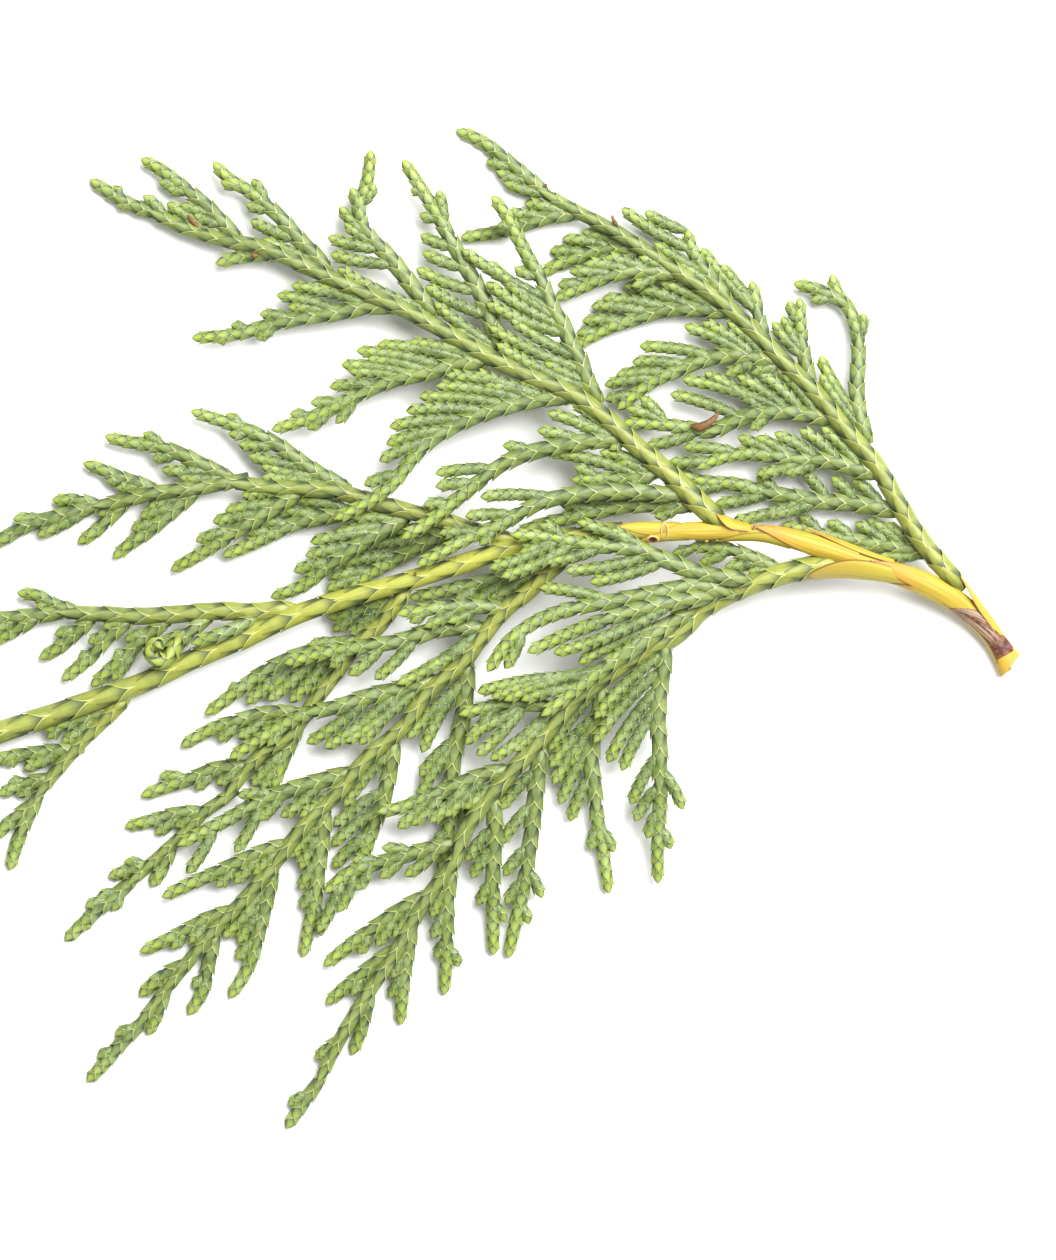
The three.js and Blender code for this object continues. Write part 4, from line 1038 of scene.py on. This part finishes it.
# Branch D runs down to the left from the lower side of the main stem, beside branch C. Its
# sprays are short and set close together, and its tip comes down to the table.
branch_d_pieces = {
    "branch_d_stem": [
        [[[[560, 563, 6.8], [545, 575, 6.6], [530, 590, 6.4], [505, 610, 6.2], [480, 640, 5.8],
         [465, 660, 5.6], [430, 690, 5.2], [400, 730, 4.8], [370, 755, 4.6], [340, 790, 4.2],
         [305, 825, 3.8], [273, 866, 3.2]], [16, 14]]],
        [
            [[[540, 578], [505, 578], [475, 584], [440, 592], [410, 598]], [5.8, 4.2], [[455, 602],
             [470, 604], [490, 598]]],
            [[[508, 609], [470, 606], [430, 609], [398, 614]], [6.2, 7.6, 7.6], [[410, 622],
             [425, 627], [448, 622]]],
        ],
    ],
    "branch_d_tip": [
        [[[[271, 869, 3.2], [243, 901, 2.8], [213, 931, 2.4], [188, 962, 2.0], [163, 993, 1.6],
         [138, 1026, 1.3]], [14, 11]]],
        [
            [[[236, 910], [210, 918], [190, 928], [165, 941], [140, 952]], [2.6, 1.6], [[208, 936],
             [189, 943], [171, 949]]],
            [[[188, 963], [167, 973], [139, 996]], [2.0, 1.1], [[160, 993]]],
            [[[141, 1023], [124, 1040], [108, 1059], [87, 1082]], [1.3, 0.8], [[115, 1036],
             [97, 1058]]],
            [[[215, 933], [208, 965], [203, 990], [188, 1015]], [2.2, 0.9], [[192, 988]]],
            [[[166, 990], [155, 1018], [147, 1035]], [1.5, 0.9], []],
        ],
    ],
    "branch_d_low_spray_1": [
        [],
        [
            [[[484, 628], [440, 629], [400, 641], [360, 647], [330, 652], [285, 663]],
             [5.6, 6.3, 6.3, 5.6], [[330, 667], [349, 675], [375, 679], [398, 684], [425, 669]]],
        ],
    ],
    "branch_d_low_spray_2": [
        [],
        [
            [[[437, 680], [400, 689], [370, 696], [340, 706], [300, 716], [281, 726], [255, 742],
             [230, 758]], [4.9, 5.1, 4.6, 4.0], [[360, 744, 405, 700], [345, 742], [325, 748],
             [307, 743, 372, 700], [268, 746]]],
        ],
    ],
    "branch_d_low_spray_3": [
        [],
        [
            [[[352, 772], [320, 781], [290, 790], [262, 801], [232, 817], [205, 831], [178, 845]],
             [4.2, 3.6], [[300, 816], [281, 817], [259, 820, 285, 795], [235, 852, 262, 801],
             [187, 873, 215, 825], [238, 796]]],
        ],
    ],
    "branch_d_low_spray_4": [
        [],
        [
            [[[290, 844], [265, 851], [240, 862], [215, 873], [190, 884], [162, 897]], [3.4, 2.8],
             [[253, 874], [234, 883], [216, 887]]],
        ],
    ],
    "branch_d_right_spray_1": [
        [],
        [
            [[[468, 663], [466, 690], [462, 720], [455, 750], [450, 790], [448, 830], [442, 870],
             [438, 897]], [5.2, 1.6], [[408, 738, 467, 682], [422, 752], [420, 776, 456, 738],
             [418, 800], [430, 816], [434, 850], [470, 838]]],
        ],
    ],
    "branch_d_right_spray_2": [
        [],
        [
            [[[395, 740], [388, 780], [380, 810], [370, 835], [362, 860], [352, 890]], [4.4, 1.2],
             [[350, 789], [344, 806], [334, 826, 386, 790], [332, 846, 380, 810],
             [333, 868, 372, 832]]],
        ],
    ],
    "branch_d_right_spray_3": [
        [],
        [
            [[[325, 808], [322, 840], [318, 870], [315, 900], [308, 930], [303, 957]], [3.8, 1.0],
             [[290, 858, 324, 822], [300, 869], [300, 890], [301, 909], [321, 936, 316, 902]]],
        ],
    ],
    "branch_d_right_spray_4": [
        [],
        [
            [[[273, 873], [265, 905], [259, 930], [252, 957], [243, 977], [229, 998]], [2.8, 1.0],
             [[241, 920], [223, 938, 264, 905], [238, 943], [236, 960]]],
        ],
    ],
}
for name, (stems, shoots) in branch_d_pieces.items():
    grow(name, stems, shoots)


# Branch E, a smaller branch below the main stem and left of branch D. Stem and sprays lie
# close to one plane and touch the table at their tips.
branch_e_pieces = {
    "branch_e_stem": [
        [[[[402, 597, 5.4], [395, 605, 5.0], [380, 625, 4.4], [360, 642, 4.0], [335, 675, 3.6],
         [315, 700, 3.3], [290, 735, 3.0], [260, 755, 2.7], [240, 778, 2.4], [225, 797, 2.2]],
         [15, 12]]],
        [
            [[[392, 601], [372, 606], [350, 613], [328, 617]], [4.4, 2.4], [[327, 603], [333, 630],
             [350, 637, 380, 612], [365, 634, 388, 608]]],
            [[[300, 722], [292, 740], [281, 765], [273, 788]], [2.8, 1.6], [[252, 786, 285, 748],
             [262, 789, 284, 762]]],
        ],
    ],
    "branch_e_tip": [
        [[[[222, 800, 2.2], [203, 813, 2.0], [186, 832, 1.8], [168, 848, 1.6], [147, 867, 1.4],
         [128, 884, 1.2]], [12, 11]]],
        [
            [[[205, 812], [175, 814], [150, 821], [125, 827]], [1.9, 1.1], [[155, 834], [175, 827]]],
            [[[148, 866], [128, 871], [108, 877]], [1.4, 1.0], [[124, 862]]],
            [[[130, 883], [112, 898], [92, 915], [65, 941]], [1.2, 0.8], [[97, 898], [85, 907],
             [112, 911], [84, 930]]],
            [[[172, 846], [162, 868], [151, 887]], [1.5, 1.0], []],
        ],
    ],
    "branch_e_low_spray_1": [
        [],
        [
            [[[358, 640], [330, 647], [300, 655], [270, 668], [245, 685], [225, 700], [205, 714]],
             [3.8, 2.2], [[309, 645, 345, 640], [315, 668], [290, 679], [268, 691],
             [246, 703, 295, 663], [228, 689], [268, 700, 322, 655], [290, 702, 335, 655],
             [312, 698, 345, 650]]],
        ],
    ],
    "branch_e_low_spray_2": [
        [],
        [
            [[[302, 714], [270, 713], [240, 720], [210, 730], [181, 746]], [3.0, 1.8], [[218, 741],
             [238, 738], [262, 730]]],
        ],
    ],
    "branch_e_low_spray_3": [
        [],
        [
            [[[248, 766], [215, 769], [190, 779], [165, 787], [141, 796]], [2.4, 1.4], [[159, 776],
             [195, 789], [216, 784]]],
        ],
    ],
}
for name, (stems, shoots) in branch_e_pieces.items():
    grow(name, stems, shoots)


# Branch F runs to the left above the main stem. Its stem carries two sprays on the upper side
# and three on the lower, each a shoot of scale leaves with blunt twigs.
branch_f_pieces = {
    "branch_f_stem": [
        [[[[508, 540, 7.0], [475, 531, 6.4], [450, 523, 5.9], [400, 509, 5.2], [370, 501, 4.8],
         [340, 492, 4.6], [300, 488, 4.4], [260, 487, 4.1], [230, 482, 3.9]], [16, 15]]],
        [
            [[[455, 530], [430, 541], [402, 556], [375, 571], [350, 586]], [5.6, 3.8, 2.6, 2.2],
             [[350, 548], [340, 563], [331, 577], [327, 590, 365, 575], [372, 533]]],
        ],
    ],
    "branch_f_tip": [
        [[[[227, 482, 3.9], [200, 487, 3.6], [180, 490, 3.6], [150, 494, 3.2], [120, 501, 2.8],
         [95, 506, 2.4]], [15, 13]]],
        [
            [[[155, 489], [135, 482], [119, 477], [100, 469], [83, 463]], [3.0, 1.8], [[116, 487],
             [106, 480]]],
            [[[97, 504], [75, 500], [52, 500]], [2.4, 1.8], []],
            [[[93, 507], [60, 516], [25, 526], [0, 540], [-42, 556]], [2.4, 1.2], [[13, 519],
             [37, 535, 88, 510], [-22, 536]]],
            [[[196, 492], [178, 506], [163, 519], [147, 532], [128, 545], [113, 558]], [3.4, 1.6],
             [[148, 507], [140, 517], [131, 529]]],
            [[[125, 504], [111, 516], [96, 530], [78, 543]], [2.6, 1.2], [[98, 515]]],
        ],
    ],
    "branch_f_up_spray_1": [
        [],
        [
            [[[345, 486], [325, 477], [302, 463], [282, 448], [257, 434], [231, 424], [191, 411]],
             [4.6, 3.0], [[229, 434], [239, 444], [249, 455], [262, 466], [278, 476],
             [262, 477, 318, 478], [226, 414, 244, 427]]],
        ],
    ],
    "branch_f_up_spray_2": [
        [],
        [
            [[[226, 475], [205, 466], [185, 456], [165, 448], [145, 444], [125, 441], [105, 436]],
             [4.0, 2.4], [[152, 458], [162, 469], [180, 477], [143, 433]]],
        ],
    ],
    "branch_f_low_spray_1": [
        [],
        [
            [[[300, 493], [275, 506], [250, 522], [228, 536], [200, 554], [171, 570]],
             [4.2, 4.2, 3.6, 2.2], [[242, 496], [226, 511], [213, 522], [196, 541, 234, 530]]],
        ],
    ],
    "branch_f_low_spray_2": [
        [],
        [
            [[[365, 507], [345, 513], [320, 518], [300, 522], [280, 530], [260, 540], [223, 556]],
             [4.2, 2.9, 2.4], [[298, 499, 350, 507], [275, 510], [256, 522, 290, 525], [247, 533]]],
        ],
    ],
    "branch_f_low_spray_3": [
        [],
        [
            [[[408, 516], [380, 532], [352, 549], [324, 569], [302, 586], [271, 597]],
             [4.6, 5.0, 4.4, 3.2], [[335, 533], [311, 542], [306, 556], [294, 571],
             [352, 518, 398, 517]]],
        ],
    ],
}
for name, (stems, shoots) in branch_f_pieces.items():
    grow(name, stems, shoots)


# Branches G and H, the youngest, on either side of the young stem by the photo's left edge. Each
# is a thin stem with small shoots, and pale tips that come down to the table.
young_branch_pieces = {
    "branch_g": [
        [[[[284, 609, 5.4], [260, 612, 5.0], [220, 611, 4.6], [180, 614, 4.2], [140, 616, 3.8],
         [100, 614, 3.4], [60, 613, 3.0]], [18, 17, 14]]],
        [
            [[[62, 613], [30, 616], [0, 619], [-30, 623], [-62, 631]], [3.0, 1.4], [[-35, 611],
             [-10, 633], [-38, 639]]],
            [[[78, 612], [50, 603], [35, 595], [17, 593]], [3.2, 2.2], [[36, 606]]],
            [[[258, 617], [225, 633], [192, 643]], [5.0, 7.0, 7.2, 6.8], []],
            [[[210, 616], [188, 634], [170, 655]], [4.4, 5.0, 5.0], [[149, 655, 190, 632],
             [160, 645]]],
            [[[168, 620], [145, 637], [125, 656], [106, 673], [91, 686]], [4.0, 2.6], [[125, 640],
             [113, 657], [112, 680, 138, 648]]],
            [[[130, 620], [108, 637], [92, 655], [76, 669], [62, 680]], [3.6, 2.2], [[88, 643],
             [78, 658], [103, 628]]],
            [[[92, 618], [72, 636], [55, 650], [39, 658]], [3.2, 1.8], [[55, 635]]],
            [[[37, 617], [15, 630], [-8, 642]], [2.8, 1.6], []],
        ],
    ],
    "branch_h": [
        [[[[121, 703, 3.4], [106, 718, 3.0], [87, 736, 2.6], [52, 776, 2.0], [36, 796, 1.6]],
         [15, 12]]],
        [
            [[[115, 707], [95, 715], [70, 722], [44, 730]], [3.0, 2.2], [[47, 738], [62, 743]]],
            [[[78, 750], [45, 752], [10, 757], [-20, 764]], [2.4, 1.3], [[23, 768, 62, 755],
             [35, 764], [6, 765]]],
            [[[50, 778], [20, 785], [-2, 795]], [2.0, 1.2], [[18, 797], [8, 782]]],
            [[[34, 803], [12, 820], [-8, 838]], [1.6, 1.0], []],
            [[[38, 795], [26, 820], [16, 845], [9, 870]], [1.7, 0.9], []],
        ],
    ],
}
for name, (stems, shoots) in young_branch_pieces.items():
    grow(name, stems, shoots)


# Two kinds of small things on the sprays: a shoot tip near the left edge that is curled up like a
# snail in pale scales, and ends and scales that have died and dried to hard brown bits.
# The curl is [px, px, height mm] along its line, and a dry bit is [line px, height mm, widths px].
CURL_ROUTE = [(181, 634, 5.6), (172, 650, 6.6), (165, 660, 6.8), (153, 658, 6.8), (150, 649, 7.0),
              (157, 643, 7.4), (163, 648, 7.6)]
CURL_HALF_WIDTHS = [0.95e-3, 1.0e-3, 0.95e-3, 0.8e-3, 0.7e-3]
curl_habit = Habit(length=3.0, rows=7, columns=7, face_spread=60, face_curve=1.5, face_point=0.8,
                   lift=0.25, bulge=0.1, flare=0.4, rim=0.1, side_reach=0.75, twist=20,
                   fresh=(0.4, 0.8, 0.9), woody=(0.6, 0.6))
curl_tissue = Tissue(5)
curl_axis = Axis(smooth_line([(*plan(x, y), (z - TABLE_MM) * 1e-3) for x, y, z in CURL_ROUTE]),
                 CURL_HALF_WIDTHS, 0.8, 0, True)
add_core(curl_tissue, curl_axis, 0.2, 0.3, 0.8)
add_leaves(curl_tissue, curl_axis, curl_habit, 0.0, 1.0, 0.1)
DRY_ENDS = [
    [[(690, 425), (700, 427), (710, 422), (720, 411)], 5.6, [9, 11, 7, 2]],
    [[(187, 214), (193, 222), (199, 227)], 3.6, [4, 5, 9]],
    [[(251, 254), (256, 256), (259, 257)], 5.0, [5, 7, 3]],
    [[(574, 482), (570, 479)], 6.6, [3, 2]],
    [[(543, 187), (548, 183)], 3.2, [4, 3]],
    [[(618, 226), (613, 219), (612, 214)], 4.2, [9, 5, 3]],
    [[(499, 667), (495, 664)], 6.4, [4, 3]],
    [[(415, 571), (416, 576)], 8.4, [3, 4]],
    [[(455, 556), (456, 559)], 8.8, [3, 4]],
]
dry_tissue = Tissue(6)
for dry_route, dry_height, dry_widths in DRY_ENDS:
    dry_path = smooth_line([(*plan(x, y), (dry_height - TABLE_MM) * 1e-3) for x, y in dry_route])
    dry_axis = Axis(dry_path, np.array(dry_widths) * PIXEL / 2, 0.8, 0, True)
    add_core(dry_tissue, dry_axis, 0.0, 0.0, 0.85)
make_piece("curled_tip", curl_tissue, leaf_tissue, False)
make_piece("dry_ends", dry_tissue, old_bark, False)


# A plain pale floor, soft light from above and the upper right, and the camera straight above
# the middle of the photo.
FLOOR_SIZE = 3.0
FLOOR_COLOUR = (0.9, 0.9, 0.89, 1)
LAMP_PLACE = (0.45, 0.5, 1.0)
SENSOR_MM = 36
SPRIG_MIDDLE = 0.005
PHOTO_CENTRE_PX = (528, 630)
CAMERA_HEIGHT = 3.0
PHOTO_HEIGHT = 1260 * PIXEL
bpy.ops.mesh.primitive_plane_add(size=FLOOR_SIZE, location=(0, 0, 0))
floor = bpy.context.object
floor.name = "floor"
floor_material = bpy.data.materials.new("floor")
floor_material.use_nodes = True
floor_shader = floor_material.node_tree.nodes["Principled BSDF"]
floor_shader.inputs["Base Color"].default_value = FLOOR_COLOUR
floor_shader.inputs["Roughness"].default_value = 0.9
floor.data.materials.append(floor_material)

world = bpy.data.worlds.new("studio")
world.use_nodes = True
world.node_tree.nodes["Background"].inputs["Color"].default_value = (1, 1, 1, 1)
world.node_tree.nodes["Background"].inputs["Strength"].default_value = 0.6
bpy.context.scene.world = world
lamp_data = bpy.data.lights.new("softbox", "AREA")
lamp_data.size = 0.9
lamp_data.energy = 41
lamp = bpy.data.objects.new("softbox", lamp_data)
lamp.location = LAMP_PLACE
lamp.rotation_euler = lamp.location.to_track_quat("Z", "Y").to_euler()
bpy.context.collection.objects.link(lamp)

camera_data = bpy.data.cameras.new("camera")
camera_data.lens = SENSOR_MM * (CAMERA_HEIGHT - SPRIG_MIDDLE) / PHOTO_HEIGHT
camera = bpy.data.objects.new("camera", camera_data)
camera.location = (*plan(*PHOTO_CENTRE_PX), CAMERA_HEIGHT)
bpy.context.collection.objects.link(camera)
bpy.context.scene.camera = camera
bpy.context.scene.view_settings.view_transform = "Standard"
